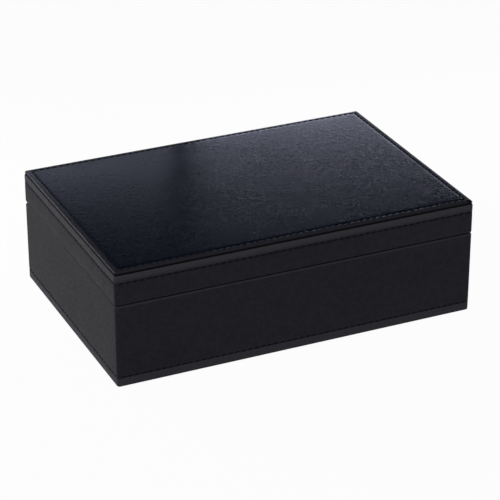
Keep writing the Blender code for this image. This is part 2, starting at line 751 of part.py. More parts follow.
def build_lid_shell(axis):
    """Leather wrap with its stitch row, the four rails and the top board inside it."""
    wrap = rounded_block("lid_wrap", 0, LID_LOW, LID_TOP, lid=True)
    room_low = LID_LOW + LEATHER
    room_high = LID_TOP - LEATHER
    room = cavity("lid_wrap_room", LEATHER, room_low, room_high, lid=True)
    mouth = plan_block("lid_wrap_mouth", RIM_WIDTH, LID_LOW - OVERRUN, room_high - OVERRUN, cutters)
    crown = plan_block("lid_wrap_crown", LID_TURN_IN, room_high - OVERRUN, LID_TOP + OVERRUN, cutters)
    groove = side_groove("lid_stitch_groove", LID_STITCH_HEIGHT)
    cut(wrap, room, make_cutter(mouth), make_cutter(crown), groove, *mortises(lid=True))
    finish_piece(wrap, BLACK_LEATHER, axis)
    finish_piece(side_thread("lid_side_stitching", LID_STITCH_HEIGHT), BLACK_THREAD, axis)
    board = plan_block("lid_top_board", BOARD_INSET, LID_BOARD_LOW, LID_BOARD_HIGH)
    finish_piece(board, FIBRE_BOARD, axis)
    surround("lid_{}_rail", PLAIN_SIDES, BOARD_INSET, WALL_BOARD, RAIL_LOW, RAIL_HIGH, FIBRE_BOARD, axis)
    back = bevelled_back_board("lid_back_rail", RAIL_LOW, RAIL_HIGH, True, FIBRE_BOARD, axis)
    cut(back, screw_pilots(lid=True))


def build_top_panel(axis):
    """The stitched leather panel that covers the lid, over its stiff core."""
    core_inset = PANEL_MARGIN + PANEL_LEATHER + SEAT
    core = plan_block("top_panel_core", core_inset, PANEL_LOW, CORE_TOP)
    finish_piece(core, GREY_CARD, axis)
    panel = rounded_block("top_panel_leather", PANEL_MARGIN, PANEL_LOW, PANEL_TOP, top_only=True)
    room = plan_block(
        "panel_room", PANEL_MARGIN + PANEL_LEATHER, PANEL_LOW - OVERRUN, CORE_TOP + SEAT, cutters
    )
    reach = THREAD_WIDTH / 2 + SEAT
    outer = rounded_outline(TOP_STITCH_INSET - reach, CORNER_RADIUS)
    inner = rounded_outline(TOP_STITCH_INSET + reach, CORNER_RADIUS - reach)
    groove_low = PANEL_TOP - STITCH_GROOVE_DEPTH
    groove = ring("top_stitch_groove", outer, inner, groove_low, PANEL_TOP + OVERRUN, cutters)
    cut(panel, make_cutter(room), make_cutter(groove))
    finish_piece(panel, BLACK_LEATHER, axis)
    outer = rounded_outline(TOP_STITCH_INSET - THREAD_WIDTH / 2, CORNER_RADIUS)
    inner = rounded_outline(TOP_STITCH_INSET + THREAD_WIDTH / 2, CORNER_RADIUS - THREAD_WIDTH)
    thread = ring("top_stitching", outer, inner, PANEL_TOP - THREAD_DEPTH, PANEL_TOP)
    finish_piece(thread, BLACK_THREAD, axis)


def build_lid_lining(axis):
    ceiling = plan_block("lid_ceiling_lining", LINING_INSET, CEILING_LOW, RAIL_HIGH)
    finish_piece(ceiling, GREY_SUEDE, axis)
    wall_lining("lid_wall_lining", LID_LOW + SEAT, CEILING_LOW - SEAT, axis)


def build_mirror(axis):
    """The mirror, held against the ceiling by a frame whose lip runs under its edge."""
    window_inset = FRAME_INSET + FRAME_WIDTH
    pocket_inset = window_inset - FRAME_LIP
    mirror = plan_block("mirror", pocket_inset + SEAT, MIRROR_LOW, MIRROR_HIGH)
    finish_piece(mirror, SILVERED_GLASS, axis)
    frame = plan_block("mirror_frame", FRAME_INSET, FRAME_LOW, MIRROR_HIGH)
    soften(frame, SOFT_EDGE)
    pocket = plan_block("frame_pocket", pocket_inset, MIRROR_LOW - SEAT, MIRROR_HIGH + OVERRUN, cutters)
    window = plan_block("frame_window", window_inset, FRAME_LOW - OVERRUN, MIRROR_HIGH + OVERRUN, cutters)
    cut(frame, make_cutter(pocket), make_cutter(window))
    finish_piece(frame, GREY_SUEDE, axis)


def hinge_screws(side, middle, lid, axis=None):
    owner = "lid" if lid else "base"
    for index, solid in enumerate(screw_solids(screw_profile(), lid, middle)):
        screw = turned_object(f"hinge_{side}_{owner}_screw_{index + 1}", [solid], parts)
        finish_piece(screw, BRASS, axis)


def build_hinges(axis):
    for side, middle in hinge_places():
        hinge_pin(side, middle)
        hinge_leaf(side, middle, lid=False)
        hinge_screws(side, middle, lid=False)
        hinge_leaf(side, middle, lid=True, axis=axis)
        hinge_screws(side, middle, lid=True, axis=axis)


clear_scene()
parts = new_collection("jewellery_box")
cutters = new_collection("cutters")
lid_axis = joint_axis("lid_hinge_axis", (0, PIN_Y, PIN_HEIGHT))
tray_axis = joint_axis("tray_lift_axis", (0, 0, TRAY_LOW))
build_base_shell()
build_base_lining()
build_ledges()
build_lower_dividers()
build_tray(tray_axis)
build_ring_rolls(tray_axis)
build_pulls(tray_axis)
build_lid_shell(lid_axis)
build_top_panel(lid_axis)
build_lid_lining(lid_axis)
build_mirror(lid_axis)
build_hinges(lid_axis)
bpy.context.view_layer.update()
print(f"Box {BOX_LENGTH:.4f} x {BOX_WIDTH:.4f} x {PANEL_TOP:.4f} m")
print(f"Hinge pins at y {PIN_Y:.5f}, z {PIN_HEIGHT:.5f}")
print(f"Free lift of the tray under the closed lid {CEILING_LOW - TRAY_TOP - PULL_STANDS_PROUD:.4f} m")
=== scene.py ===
# %% [markdown]
# # A stitched leather jewellery box
# The real box is made of boards covered in black leather: a base, a lid that is
# hinged at the back, and a tray that lifts out. The boards, hinges and linings come
# in as finished solids. This lesson dresses them: it models the leather, the
# separate stitches, the padded ring rolls, the ribbon pulls and the screws, and it
# gives every piece its finish. The first cell loads the solids and measures them.

# %% Load the box
import json
import math

import bmesh
import bpy
from mathutils import Matrix, Vector, noise


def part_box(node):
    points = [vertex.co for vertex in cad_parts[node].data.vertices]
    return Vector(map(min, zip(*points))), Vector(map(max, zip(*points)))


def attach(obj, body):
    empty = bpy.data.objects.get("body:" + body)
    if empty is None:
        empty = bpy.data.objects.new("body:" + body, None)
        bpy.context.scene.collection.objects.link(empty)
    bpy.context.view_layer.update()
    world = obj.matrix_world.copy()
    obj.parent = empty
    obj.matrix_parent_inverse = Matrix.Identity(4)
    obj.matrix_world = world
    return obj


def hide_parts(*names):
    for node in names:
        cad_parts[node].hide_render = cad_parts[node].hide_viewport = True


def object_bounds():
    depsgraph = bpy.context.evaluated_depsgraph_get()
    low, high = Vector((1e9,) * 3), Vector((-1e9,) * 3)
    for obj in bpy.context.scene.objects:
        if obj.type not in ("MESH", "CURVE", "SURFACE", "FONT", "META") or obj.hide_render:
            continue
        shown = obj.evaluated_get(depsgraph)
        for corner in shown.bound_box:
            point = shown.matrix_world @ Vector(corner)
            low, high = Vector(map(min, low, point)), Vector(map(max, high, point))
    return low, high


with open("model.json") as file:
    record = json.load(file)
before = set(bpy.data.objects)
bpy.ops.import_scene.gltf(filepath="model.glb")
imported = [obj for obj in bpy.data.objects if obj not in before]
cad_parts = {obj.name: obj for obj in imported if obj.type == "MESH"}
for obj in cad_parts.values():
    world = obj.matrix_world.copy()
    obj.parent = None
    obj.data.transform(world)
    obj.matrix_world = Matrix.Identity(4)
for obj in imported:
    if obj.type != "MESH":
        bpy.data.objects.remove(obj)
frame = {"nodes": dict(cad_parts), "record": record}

solid_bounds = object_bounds()
print("solids from", [round(v, 4) for v in solid_bounds[0]], "to", [round(v, 4) for v in solid_bounds[1]])

# %% [markdown]
# ## The camera
# The camera stands a good way off with a long lens, as for a product picture, so the
# far edges of the box shrink only a little. Its place was found by fitting the box's
# corners to the photograph: a direction, a distance and a point to look at say it
# more plainly than three coordinates would.

# %% Camera
PHOTO_SIDE = 500
FOCAL_LENGTH_IN_PIXELS = 2145.3
SENSOR_WIDTH = 36.0
AZIMUTH = math.radians(-24.50)
ELEVATION = math.radians(26.51)
DISTANCE = 1.4726
LOOK_AT = Vector((-0.0039, -0.0163, 0.0416))

towards_camera = Vector(
    (
        math.sin(AZIMUTH) * math.cos(ELEVATION),
        -math.cos(AZIMUTH) * math.cos(ELEVATION),
        math.sin(ELEVATION),
    )
)
camera = bpy.data.objects.new("camera", bpy.data.cameras.new("camera"))
camera.data.sensor_width = SENSOR_WIDTH
camera.data.lens = SENSOR_WIDTH * FOCAL_LENGTH_IN_PIXELS / PHOTO_SIDE
camera.location = LOOK_AT + towards_camera * DISTANCE
camera.rotation_euler = (-towards_camera).to_track_quat("-Z", "Y").to_euler()
bpy.context.scene.collection.objects.link(camera)
bpy.context.scene.camera = camera
print("camera lens", round(camera.data.lens, 1), "mm at", [round(v, 3) for v in camera.location])

# %% [markdown]
# ## Writing finishes as sums
# A finish is a network of nodes. Drawn by hand it is a picture of boxes and wires, but
# in a script it reads best as arithmetic. A Value wraps one output of a node, and adding
# or multiplying two of them puts a Math node between them. A Finish holds one
# material and makes every other kind of node through a single method.

# %% Values and finishes
class Value:
    def __init__(self, finish, socket):
        self.finish = finish
        self.socket = socket

    def combine(self, operation, first, second):
        return self.finish.node("ShaderNodeMath", {"operation": operation}, {0: first, 1: second})

    def __add__(self, other):
        return self.combine("ADD", self, other)

    def __sub__(self, other):
        return self.combine("SUBTRACT", self, other)

    def __mul__(self, other):
        return self.combine("MULTIPLY", self, other)

    def __rsub__(self, other):
        return self.combine("SUBTRACT", other, self)

    __radd__ = __add__
    __rmul__ = __mul__

    def at_least(self, other):
        return self.combine("MAXIMUM", self, other)

    def size(self):
        return self.combine("ABSOLUTE", self, 0)

    def wave(self):
        return self.combine("SINE", self, 0)


class Finish:
    def __init__(self, owner):
        owner.use_nodes = True
        self.owner = owner
        self.tree = owner.node_tree
        self.tree.nodes.clear()

    def connect(self, socket, value):
        if isinstance(value, Value):
            self.tree.links.new(value.socket, socket)
        else:
            socket.default_value = value

    def node(self, kind, settings=(), inputs=(), output=0):
        """Adds a node: its settings first, then the values or links of its sockets."""
        made = self.tree.nodes.new(kind)
        for name, value in dict(settings).items():
            setattr(made, name, value)
        for name, value in dict(inputs).items():
            self.connect(made.inputs[name], value)
        return Value(self, made.outputs[output]) if made.outputs else None

    def place(self, scale=(1, 1, 1)):
        """Where a point lies on the piece in metres, stretched by a scale."""
        where = self.node("ShaderNodeTexCoord", output="Object")
        return self.node("ShaderNodeMapping", inputs={"Vector": where, "Scale": scale})

    def noise(self, size, detail=2, stretch=(1, 1, 1)):
        """Soft random values from 0 to 1, whose blotches are about this size in metres."""
        sockets = {"Vector": self.place(stretch), "Scale": 1 / size, "Detail": detail}
        return self.node("ShaderNodeTexNoise", inputs=sockets)

    def between(self, value, low, high, from_low=0, from_high=1):
        """Spreads a value smoothly from one range to another."""
        sockets = {"Value": value, "From Min": from_low, "From Max": from_high}
        sockets |= {"To Min": low, "To Max": high}
        return self.node("ShaderNodeMapRange", {"interpolation_type": "SMOOTHSTEP"}, sockets)

    def mix(self, share, first, second):
        """A colour between two colours, of which the first may come from a node."""
        start = first if isinstance(first, Value) else (*first, 1)
        sockets = {"Factor": share, "A": start, "B": (*second, 1)}
        return self.node("ShaderNodeMix", {"data_type": "RGBA"}, sockets, output="Result")

    def bump(self, height, depth, strength=1):
        sockets = {"Height": height, "Distance": depth, "Strength": strength}
        return self.node("ShaderNodeBump", inputs=sockets)

    def surface(self, **sockets):
        """Ends the finish with the one shader that every piece uses."""
        named = {name.replace("_", " "): value for name, value in sockets.items()}
        shader = self.node("ShaderNodeBsdfPrincipled", inputs=named)
        self.node("ShaderNodeOutputMaterial", inputs={"Surface": shader})
        return self.owner


def new_finish(name):
    return Finish(bpy.data.materials.new(name))


print("finishes are made of", Finish.__name__, "and", Value.__name__)

# %% [markdown]
# ## Leather
# The covering is a thin corrected leather. Its grain is a net of creases 1.5 mm apart,
# with pores, a gentle swelling from cell to cell, a fine mottle, and broad blotches where
# the hide took the dye unevenly. Real dents this fine would need millions of faces. They
# only catch light, so they belong in the bump. Black leather has almost no colour of its
# own, and what the eye sees is mostly reflection. The finish therefore varies its
# roughness as well, and the top panel has a blue cast.

# %% Sizes of the grain
GRAIN_CELL = 0.0015
GRAIN_DEPTH = 0.00010
HIDE_BLOTCH = 0.030
SWELL = 0.0028
PORE = 0.0009
MOTTLE = 0.0026
CREASE_SHARE = 0.35
PEBBLE_WEIGHT = 0.45
PORE_WEIGHT = 0.25
SWELL_WEIGHT = 1.5
TONE_SHARE = 0.3
MOTTLE_SHARE = 0.7
CREASE_DULLNESS = 0.04
SHADE_DULLNESS = 0.4
NOISE_RANGE = (0.35, 0.65)
print("grain cells", GRAIN_CELL * 1000, "mm wide")

# %% [markdown]
# ## Painted highlights and painted shade
# The leather's colour is painted paler where highlights fall on it: at the foot, at the rim and
# over the lid's shoulder. It is painted near black where shade falls: in the crease under the
# top panel and along the stitches. Painted by hand, this would belong to one mesh only. A band
# between two heights follows the solids' own sizes, so each painted band says where it
# rises, is full, starts to fall and ends, and how strong it is.

# %% Where the bands lie
# The colour of the painted highlights, and below it the near black of the painted shade.
PAINTED_HIGHLIGHT_COLOUR = (0.054, 0.051, 0.062)
SHADED = (0.0004, 0.0004, 0.0006)
FULL_SHARE = 1.0
FOOT_SHARE = 0.50
FOOT_FADE = 0.0010
RIM_SHARE = 0.40
RIM_OFFSETS = (-0.0018, -0.0006, -0.0003, 0)
SHOULDER_SHARE = 0.60
SHOULDER_OFFSETS = (-0.0030, -0.0009, -0.0006)
CREASE_OFFSETS = (-0.0010, -0.0005)
ROW_SHARE = 0.35
ROW_OFFSETS = (-0.0009, -0.0003, 0.0003, 0.0009)
PANEL_FOOT_OFFSETS = (-0.0012, -0.0009)
BORDER_SHARE = 0.35
BORDER_FADE = (0.0008, 0.0020)
TOP_ROW_BAND = (-0.0010, -0.0004, 0.0003, 0.0009, 0.6)
RIGHT_SHARE = 0.7
RIGHT_FADE = 0.0009
ROW_INSET = 0.0003


def offset(level, offsets):
    return tuple(level + distance for distance in offsets)


base_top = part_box("base_wrap")[1].z
base_row = sum(corner.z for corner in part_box("base_stitching")) / 2
lid_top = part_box("lid_wrap")[1].z
lid_row = sum(corner.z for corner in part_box("lid_side_stitching")) / 2
panel_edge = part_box("top_panel_leather")[1]
NO_END = 1.0
# Painted highlights at the foot, along the rim and over the lid's shoulder. Painted shade in the crease
# under the panel, along both stitch rows and at the foot of the top panel.
PAINTED_FOOT_HIGHLIGHT = (-NO_END, 0, base_row - FOOT_FADE, base_row, FOOT_SHARE)
PAINTED_RIM_HIGHLIGHT = (*offset(base_top, RIM_OFFSETS), RIM_SHARE)
PAINTED_SHOULDER_HIGHLIGHT = (lid_row, *offset(lid_top, SHOULDER_OFFSETS), SHOULDER_SHARE)
SHADED_CREASE = (*offset(lid_top, CREASE_OFFSETS), NO_END, 2 * NO_END, FULL_SHARE)
SHADED_ROWS = tuple((*offset(row, ROW_OFFSETS), ROW_SHARE) for row in (base_row, lid_row))
SHADED_PANEL_EDGE = (-NO_END, 0, *offset(panel_edge.z, PANEL_FOOT_OFFSETS), FULL_SHARE)
row_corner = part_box("top_stitching")[1]
ROW_HALF_LENGTH = row_corner.x - ROW_INSET
ROW_HALF_WIDTH = row_corner.y - ROW_INSET
print("stitch rows at", round(base_row, 4), "and", round(lid_row, 4))


# %% Bands of painted highlight and painted shade
def band(finish, value, rise, full, fall, end, share):
    """Its share between full and fall, and nothing before rise or after end."""
    return finish.between(value, 0, share, rise, full) - finish.between(value, 0, share, fall, end)


def bands(finish, rows):
    """Level bands round the box, added up."""
    height = finish.node("ShaderNodeSeparateXYZ", inputs={"Vector": finish.place()}, output="Z")
    total = 0
    for row in rows:
        total = total + band(finish, height, *row)
    return total


def side_painted_light(finish):
    # Painted highlights at the foot, rim and shoulder; painted shade in the crease and along the stitch
    # rows.
    painted_highlight = bands(finish, (PAINTED_FOOT_HIGHLIGHT, PAINTED_RIM_HIGHLIGHT, PAINTED_SHOULDER_HIGHLIGHT))
    return painted_highlight, bands(finish, (SHADED_CREASE, *SHADED_ROWS))


def top_painted_light(finish):
    """Painted highlight over the border except on its right side, and painted shade on that right side,
    along the stitch row and at the panel's foot.
    """
    x = finish.node("ShaderNodeSeparateXYZ", inputs={"Vector": finish.place()}, output="X")
    y = finish.node("ShaderNodeSeparateXYZ", inputs={"Vector": finish.place()}, output="Y")
    beyond = (x.size() - ROW_HALF_LENGTH).at_least(y.size() - ROW_HALF_WIDTH)
    # The right border gets painted shade, darkening the glint that falls there.
    right = finish.between(x, 0, 1, ROW_HALF_LENGTH, ROW_HALF_LENGTH + RIGHT_FADE)
    painted_highlight = finish.between(beyond, 0, BORDER_SHARE, *BORDER_FADE) * (1 - right)
    row = band(finish, beyond, *TOP_ROW_BAND)
    return painted_highlight, bands(finish, (SHADED_PANEL_EDGE,)) + row + right * RIGHT_SHARE


print("wear of", side_painted_light.__name__, "and", top_painted_light.__name__)

# %% [markdown]
# ## Two leathers from one recipe
# Sides and top are cut from alike hides, but the sides are dull and the top panel is
# polished. One recipe with a few numbers keeps their grain the same, where two
# separate networks would drift apart. The dye and the gloss share one mottle: where
# the leather took more wax it is both paler and smoother.

# %% Leather finish
def leather(name, dark, light, smooth, rough, grain, shine, wear):
    finish = new_finish(name)
    cells = {"Vector": finish.place(), "Scale": 1 / GRAIN_CELL, "Randomness": 1.0}
    crease = finish.node("ShaderNodeTexVoronoi", {"feature": "DISTANCE_TO_EDGE"}, cells)
    pebble = finish.between(crease, 0, 1, 0, CREASE_SHARE)
    pores = finish.noise(PORE, detail=1)
    swell = finish.noise(SWELL, detail=2)
    blotch = finish.noise(HIDE_BLOTCH, detail=3)
    streak = finish.noise(HIDE_BLOTCH, detail=4, stretch=(0.3, 2.5, 1))
    height = pebble * PEBBLE_WEIGHT + pores * PORE_WEIGHT + swell * SWELL_WEIGHT
    tone = finish.between(blotch * 0.5 + streak * 0.5, 0, 1, *NOISE_RANGE)
    mottle = finish.between(finish.noise(MOTTLE, detail=3), 0, 1, *NOISE_RANGE)
    dye = tone * TONE_SHARE + mottle * MOTTLE_SHARE
    painted_highlight, shaded = wear(finish)
    # Painted highlight makes the colour paler, and painted shade makes it near black.
    colour = finish.mix(painted_highlight, finish.mix(dye, dark, light), PAINTED_HIGHLIGHT_COLOUR)
    colour = finish.mix(shaded, colour, SHADED)
    gloss = rough - (rough - smooth) * dye + (1 - pebble) * CREASE_DULLNESS + shaded * SHADE_DULLNESS
    normal = finish.bump(height, GRAIN_DEPTH, grain)
    return finish.surface(Base_Color=colour, Roughness=gloss, Normal=normal, Specular_IOR_Level=shine)


side_leather = leather(
    "side_leather",
    dark=(0.0102, 0.0092, 0.0135),
    light=(0.0146, 0.0132, 0.0194),
    smooth=0.50,
    rough=0.58,
    grain=0.40,
    shine=0.085,
    wear=side_painted_light,
)
top_leather = leather(
    "top_leather",
    dark=(0.0006, 0.0018, 0.0065),
    light=(0.0066, 0.0086, 0.0180),
    smooth=0.17,
    rough=0.25,
    grain=0.90,
    shine=0.12,
    wear=top_painted_light,
)
print("leathers:", side_leather.name, "and", top_leather.name)

# %% [markdown]
# ## Finishes for what the leather hides
# The linings are a short suede cloth: dull, soft, and a little lighter where the nap
# is brushed. The other finishes are bare fibre board, grey card, satin brass, the
# silvered mirror, the ribbon of the pulls and the sewing thread. Each has one kind of
# detail that a hand would notice: fibres, brush lines, ribs or twist.

# %% Suede, board, card, metal, glass, ribbon and thread
def suede(name, dark, light):
    finish = new_finish(name)
    nap = finish.noise(0.0004, detail=4)
    brushed = finish.noise(0.018, detail=2)
    colour = finish.mix(nap * 0.5 + brushed * 0.5, dark, light)
    return finish.surface(
        Base_Color=colour,
        Roughness=finish.between(nap, 0.85, 1.0),
        Normal=finish.bump(nap, 0.00025, 0.6),
        Sheen_Weight=0.35,
        Sheen_Roughness=0.4,
        Specular_IOR_Level=0.1,
    )


def board(name, dark, light):
    finish = new_finish(name)
    fibres = finish.noise(0.0012, detail=5, stretch=(0.25, 1, 1))
    return finish.surface(
        Base_Color=finish.mix(fibres, dark, light),
        Roughness=finish.between(fibres, 0.72, 0.92),
        Normal=finish.bump(fibres, 0.0001, 0.5),
    )


def brushed_metal(name, dark, light):
    finish = new_finish(name)
    lines = finish.noise(0.0006, detail=3, stretch=(0.06, 1, 1))
    return finish.surface(
        Base_Color=finish.mix(lines, dark, light),
        Metallic=1.0,
        Roughness=finish.between(lines, 0.22, 0.42),
        Normal=finish.bump(lines, 0.00002, 0.4),
    )


def silvered_glass(name):
    finish = new_finish(name)
    haze = finish.noise(0.03, detail=2)
    return finish.surface(
        Base_Color=finish.mix(haze, (0.86, 0.88, 0.88), (0.92, 0.93, 0.93)),
        Metallic=1.0,
        Roughness=finish.between(haze, 0.01, 0.03),
    )


def ribbed(name, dark, light, rib, along, shine):
    """Cloth whose ribs follow each other along a direction: ribbon, or the twist of a thread."""
    finish = new_finish(name)
    sockets = {0: finish.place(), 1: along}
    distance = finish.node("ShaderNodeVectorMath", {"operation": "DOT_PRODUCT"}, sockets, output="Value")
    ribs = (distance * (2 * math.pi / rib)).wave() * 0.5 + 0.5
    fuzz = finish.noise(0.0002, detail=2)
    return finish.surface(
        Base_Color=finish.mix(ribs * 0.7 + fuzz * 0.3, dark, light),
        Roughness=finish.between(fuzz, 0.55, 0.75),
        Normal=finish.bump(ribs, 0.0001, 0.7),
        Specular_IOR_Level=shine,
    )


grey_suede = suede("grey_suede", (0.150, 0.138, 0.130), (0.250, 0.232, 0.220))
roll_suede = suede("roll_suede", (0.165, 0.152, 0.143), (0.270, 0.250, 0.236))
fibre_board = board("fibre_board", (0.30, 0.19, 0.10), (0.46, 0.32, 0.20))
grey_card = board("grey_card", (0.24, 0.23, 0.215), (0.34, 0.33, 0.31))
brass = brushed_metal("brass", (0.68, 0.48, 0.20), (0.86, 0.66, 0.34))
mirror_glass = silvered_glass("mirror_glass")
RIBBON_RIB = 0.0007
RIBBON_BLACKS = ((0.008, 0.008, 0.010), (0.022, 0.022, 0.026))
black_ribbon = ribbed("black_ribbon", *RIBBON_BLACKS, RIBBON_RIB, (0, 0, 1), shine=0.3)
print("finishes made:", len(bpy.data.materials))

# %% [markdown]
# ## Dressing the solids
# Boards, linings, mirror, hinges and tray are already the right shape, so they keep
# their solids and only need a finish. Naming a finish for each of the 59 would be long
# and easy to get wrong. The record already says which material each solid has.

# %% Dress the solids that stay
def finish_for(node):
    """The finish of a solid, from the material slot that its record names."""
    slots = {row["node"]: row["material_slot"] for row in frame["record"]["subparts"]}
    finishes = {
        "grey_suede": grey_suede,
        "roll_suede": roll_suede,
        "fibre_board": fibre_board,
        "grey_card": grey_card,
        "brass": brass,
        "mirror": mirror_glass,
        "black_ribbon": black_ribbon,
        "black_leather": side_leather,
        "black_thread": black_ribbon,
    }
    return finishes[slots[node]]


for node, solid in frame["nodes"].items():
    solid.data.materials.clear()
    solid.data.materials.append(finish_for(node))
print("solids dressed:", len(frame["nodes"]))

# %% [markdown]
# ## Tools for modelling
# Each piece starts as a primitive of its true size in its true place. An operator
# acts on whatever is selected, so a new piece first clears the selection, and in edit
# mode the edges are picked by rule: the upright ones, say, or those at one height.

# %% Selecting and starting
def start_block(name, low, high):
    """A box between two corners, whose own origin is the world's."""
    low, high = Vector(low), Vector(high)
    bpy.ops.object.select_all(action="DESELECT")
    bpy.ops.mesh.primitive_cube_add(size=1, location=(low + high) / 2)
    piece = bpy.context.object
    piece.scale = high - low
    bpy.ops.object.transform_apply(location=True, rotation=True, scale=True)
    piece.name = name
    piece.data.name = name
    return piece


def select_edges(piece, wanted):
    """Selects the edges that a rule wants. The piece is in edit mode."""
    bpy.ops.mesh.select_mode(type="EDGE")
    bpy.ops.mesh.select_all(action="DESELECT")
    shape = bmesh.from_edit_mesh(piece.data)
    for edge in shape.edges:
        if wanted(edge):
            edge.select_set(True)
    bmesh.update_edit_mesh(piece.data)


def select_faces(piece, wanted):
    bpy.ops.mesh.select_mode(type="FACE")
    bpy.ops.mesh.select_all(action="DESELECT")
    shape = bmesh.from_edit_mesh(piece.data)
    shape.normal_update()
    for face in shape.faces:
        if wanted(face):
            face.select_set(True)
    bmesh.update_edit_mesh(piece.data)


def run_of(edge, axis):
    """The length of an edge along X (0), Y (1) or Z (2), or zero if it isn't parallel to that axis."""
    run = edge.verts[1].co - edge.verts[0].co
    return abs(run[axis]) if abs(run[axis]) > 0.999 * run.length else 0


def take_away(piece, *cutters):
    """Cuts other blocks out of a piece, applies the cuts and removes the blocks."""
    for cutter in cutters:
        bpy.context.view_layer.objects.active = piece
        step = piece.modifiers.new("cut", "BOOLEAN")
        step.operation = "DIFFERENCE"
        step.solver = "EXACT"
        step.object = cutter
        bpy.ops.object.modifier_apply(modifier=step.name)
        bpy.data.objects.remove(cutter)


def hand_over(piece, body, slot, finish, *nodes):
    """Gives a finished piece its finish and its body, and hides the solids that it stands for."""
    piece.data.materials.clear()
    piece.data.materials.append(finish)
    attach(piece, body)
    if nodes:
        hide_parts(*nodes)
    print(piece.name, "has", len(piece.data.polygons), "faces and rides", body)


# %% [markdown]
# ## How the leather takes a stitch
# A row of machine stitches pulls the leather down. Along the row runs a soft hollow,
# and in it a narrow groove under each stitch. Between two stitches nothing holds the
# leather down, so it stands up again as a small bridge. The leather bodies are cut
# into columns, six to a stitch, so that a formula can press these shapes into the mesh.
# The stitch length is rounded so that a whole number of stitches fits each side.

# %% Sizes of the leather and its stitches
SEAT = 0.0003
LEATHER_THICKNESS = 0.0010
CORNER_RADIUS = 0.0022
CORNER_STEPS = 6
CORNER_POWER = 6
EDGE_STEPS = 4
LID_TURN_IN = 0.0120
STITCH_LENGTH = 0.0047
COLUMNS_PER_STITCH = 6
HOLLOW_WIDTH = 0.0020
HOLLOW_DEPTH = 0.00014
GROOVE_WIDTH = 0.0007
GROOVE_DEPTH = 0.00058
BRIDGE_SHARE = 0.85
BRIDGE_SHARPNESS = 3
TOP_PRESS_SHARE = 0.6
UNEVEN_SIZE = 0.035
UNEVEN_DEPTH = 0.00006
ROWS_FROM_STITCH = (-0.0034, -0.0022, -0.0014, -0.0009, -0.0005, 0, 0.0005, 0.0009, 0.0014, 0.0022, 0.0034)
FLAT_ROW_SPACING = 0.007
FLAT_ROW_DISTANCE = 0.00476
FOOT_HEIGHT = 0.0052
FOOT_LEAN = 0.00015
REAR_BEVEL_DROP = 0.0015
REAR_BEVEL_DEPTH = 0.0060
HALF_LENGTH = solid_bounds[1].x
HALF_WIDTH = solid_bounds[1].y
STRAIGHT_LENGTH = 2 * (HALF_LENGTH - CORNER_RADIUS)
STRAIGHT_WIDTH = 2 * (HALF_WIDTH - CORNER_RADIUS)
STITCHES_ALONG = round(STRAIGHT_LENGTH / STITCH_LENGTH)
STITCHES_ACROSS = round(STRAIGHT_WIDTH / STITCH_LENGTH)


def pressed(distance, phase):
    """How deep the leather lies at a distance from a row, where phase counts stitches along it."""
    hollow = HOLLOW_DEPTH * math.exp(-((distance / HOLLOW_WIDTH) ** 2))
    groove = GROOVE_DEPTH * math.exp(-((distance / GROOVE_WIDTH) ** 2))
    bridge = BRIDGE_SHARE * (0.5 + 0.5 * math.cos(2 * math.pi * phase)) ** BRIDGE_SHARPNESS
    return hollow + groove * (1 - bridge)


def uneven(point):
    """The slight waviness of leather glued over board."""
    return UNEVEN_DEPTH * (0.5 + 0.5 * noise.noise(point / UNEVEN_SIZE))


print(STITCHES_ALONG, "stitches along the front and", STITCHES_ACROSS, "across each end")

# %% [markdown]
# ## The leather on the base and the lid
# Both coverings are the same job at two heights: a box with round corners, its outer
# edges softened, cut into columns and rows, pressed at its stitch row, bevelled at
# the back for the hinges, and hollowed for the boards. Writing it once keeps the two alike.
# The caps are taken off while the sides are cut into columns, so that they stay
# plain, and put back before the hollowing.

# %% A leather body with pressed sides
def round_outline(piece, height, radius):
    select_edges(piece, lambda edge: all(abs(vert.co.z - height) < 1e-6 for vert in edge.verts))
    bpy.ops.mesh.bevel(offset=radius, segments=EDGE_STEPS, affect="EDGES")


def cut_columns(piece, axis, straight, stitches):
    """Cuts the sides that run along one axis at every stitch, and then between the stitches."""
    select_edges(piece, lambda edge: run_of(edge, axis) > 0.9 * straight)
    bpy.ops.mesh.subdivide(number_cuts=stitches - 1)
    select_edges(piece, lambda edge: run_of(edge, axis) > 0.9 * straight / stitches)
    bpy.ops.mesh.subdivide(number_cuts=COLUMNS_PER_STITCH - 1)


def cut_rows(piece, low, high, row):
    """Level cuts: close together at the stitch row, and a few on the flat."""
    flat = [low + FLAT_ROW_SPACING * step for step in range(1, int((high - low) / FLAT_ROW_SPACING) + 1)]
    near = [row + offset for offset in ROWS_FROM_STITCH]
    levels = near + [level for level in flat if abs(level - row) > FLAT_ROW_DISTANCE]
    for level in levels:
        if low < level < high:
            bpy.ops.mesh.select_all(action="SELECT")
            bpy.ops.mesh.bisect(plane_co=(0, 0, level), plane_no=(0, 0, 1))


def outline_frame(x, y):
    """The nearest point of the inner rectangle that the round corners turn about, and the way out."""
    core_x = max(-HALF_LENGTH + CORNER_RADIUS, min(HALF_LENGTH - CORNER_RADIUS, x))
    core_y = max(-HALF_WIDTH + CORNER_RADIUS, min(HALF_WIDTH - CORNER_RADIUS, y))
    core = Vector((core_x, core_y))
    return core, Vector((x, y)) - core


def stitch_phase(core, along_front):
    """How many stitches lie between the start of a side and a point on it."""
    if along_front:
        return (core.x / STRAIGHT_LENGTH + 0.5) * STITCHES_ALONG
    return (core.y / STRAIGHT_WIDTH + 0.5) * STITCHES_ACROSS


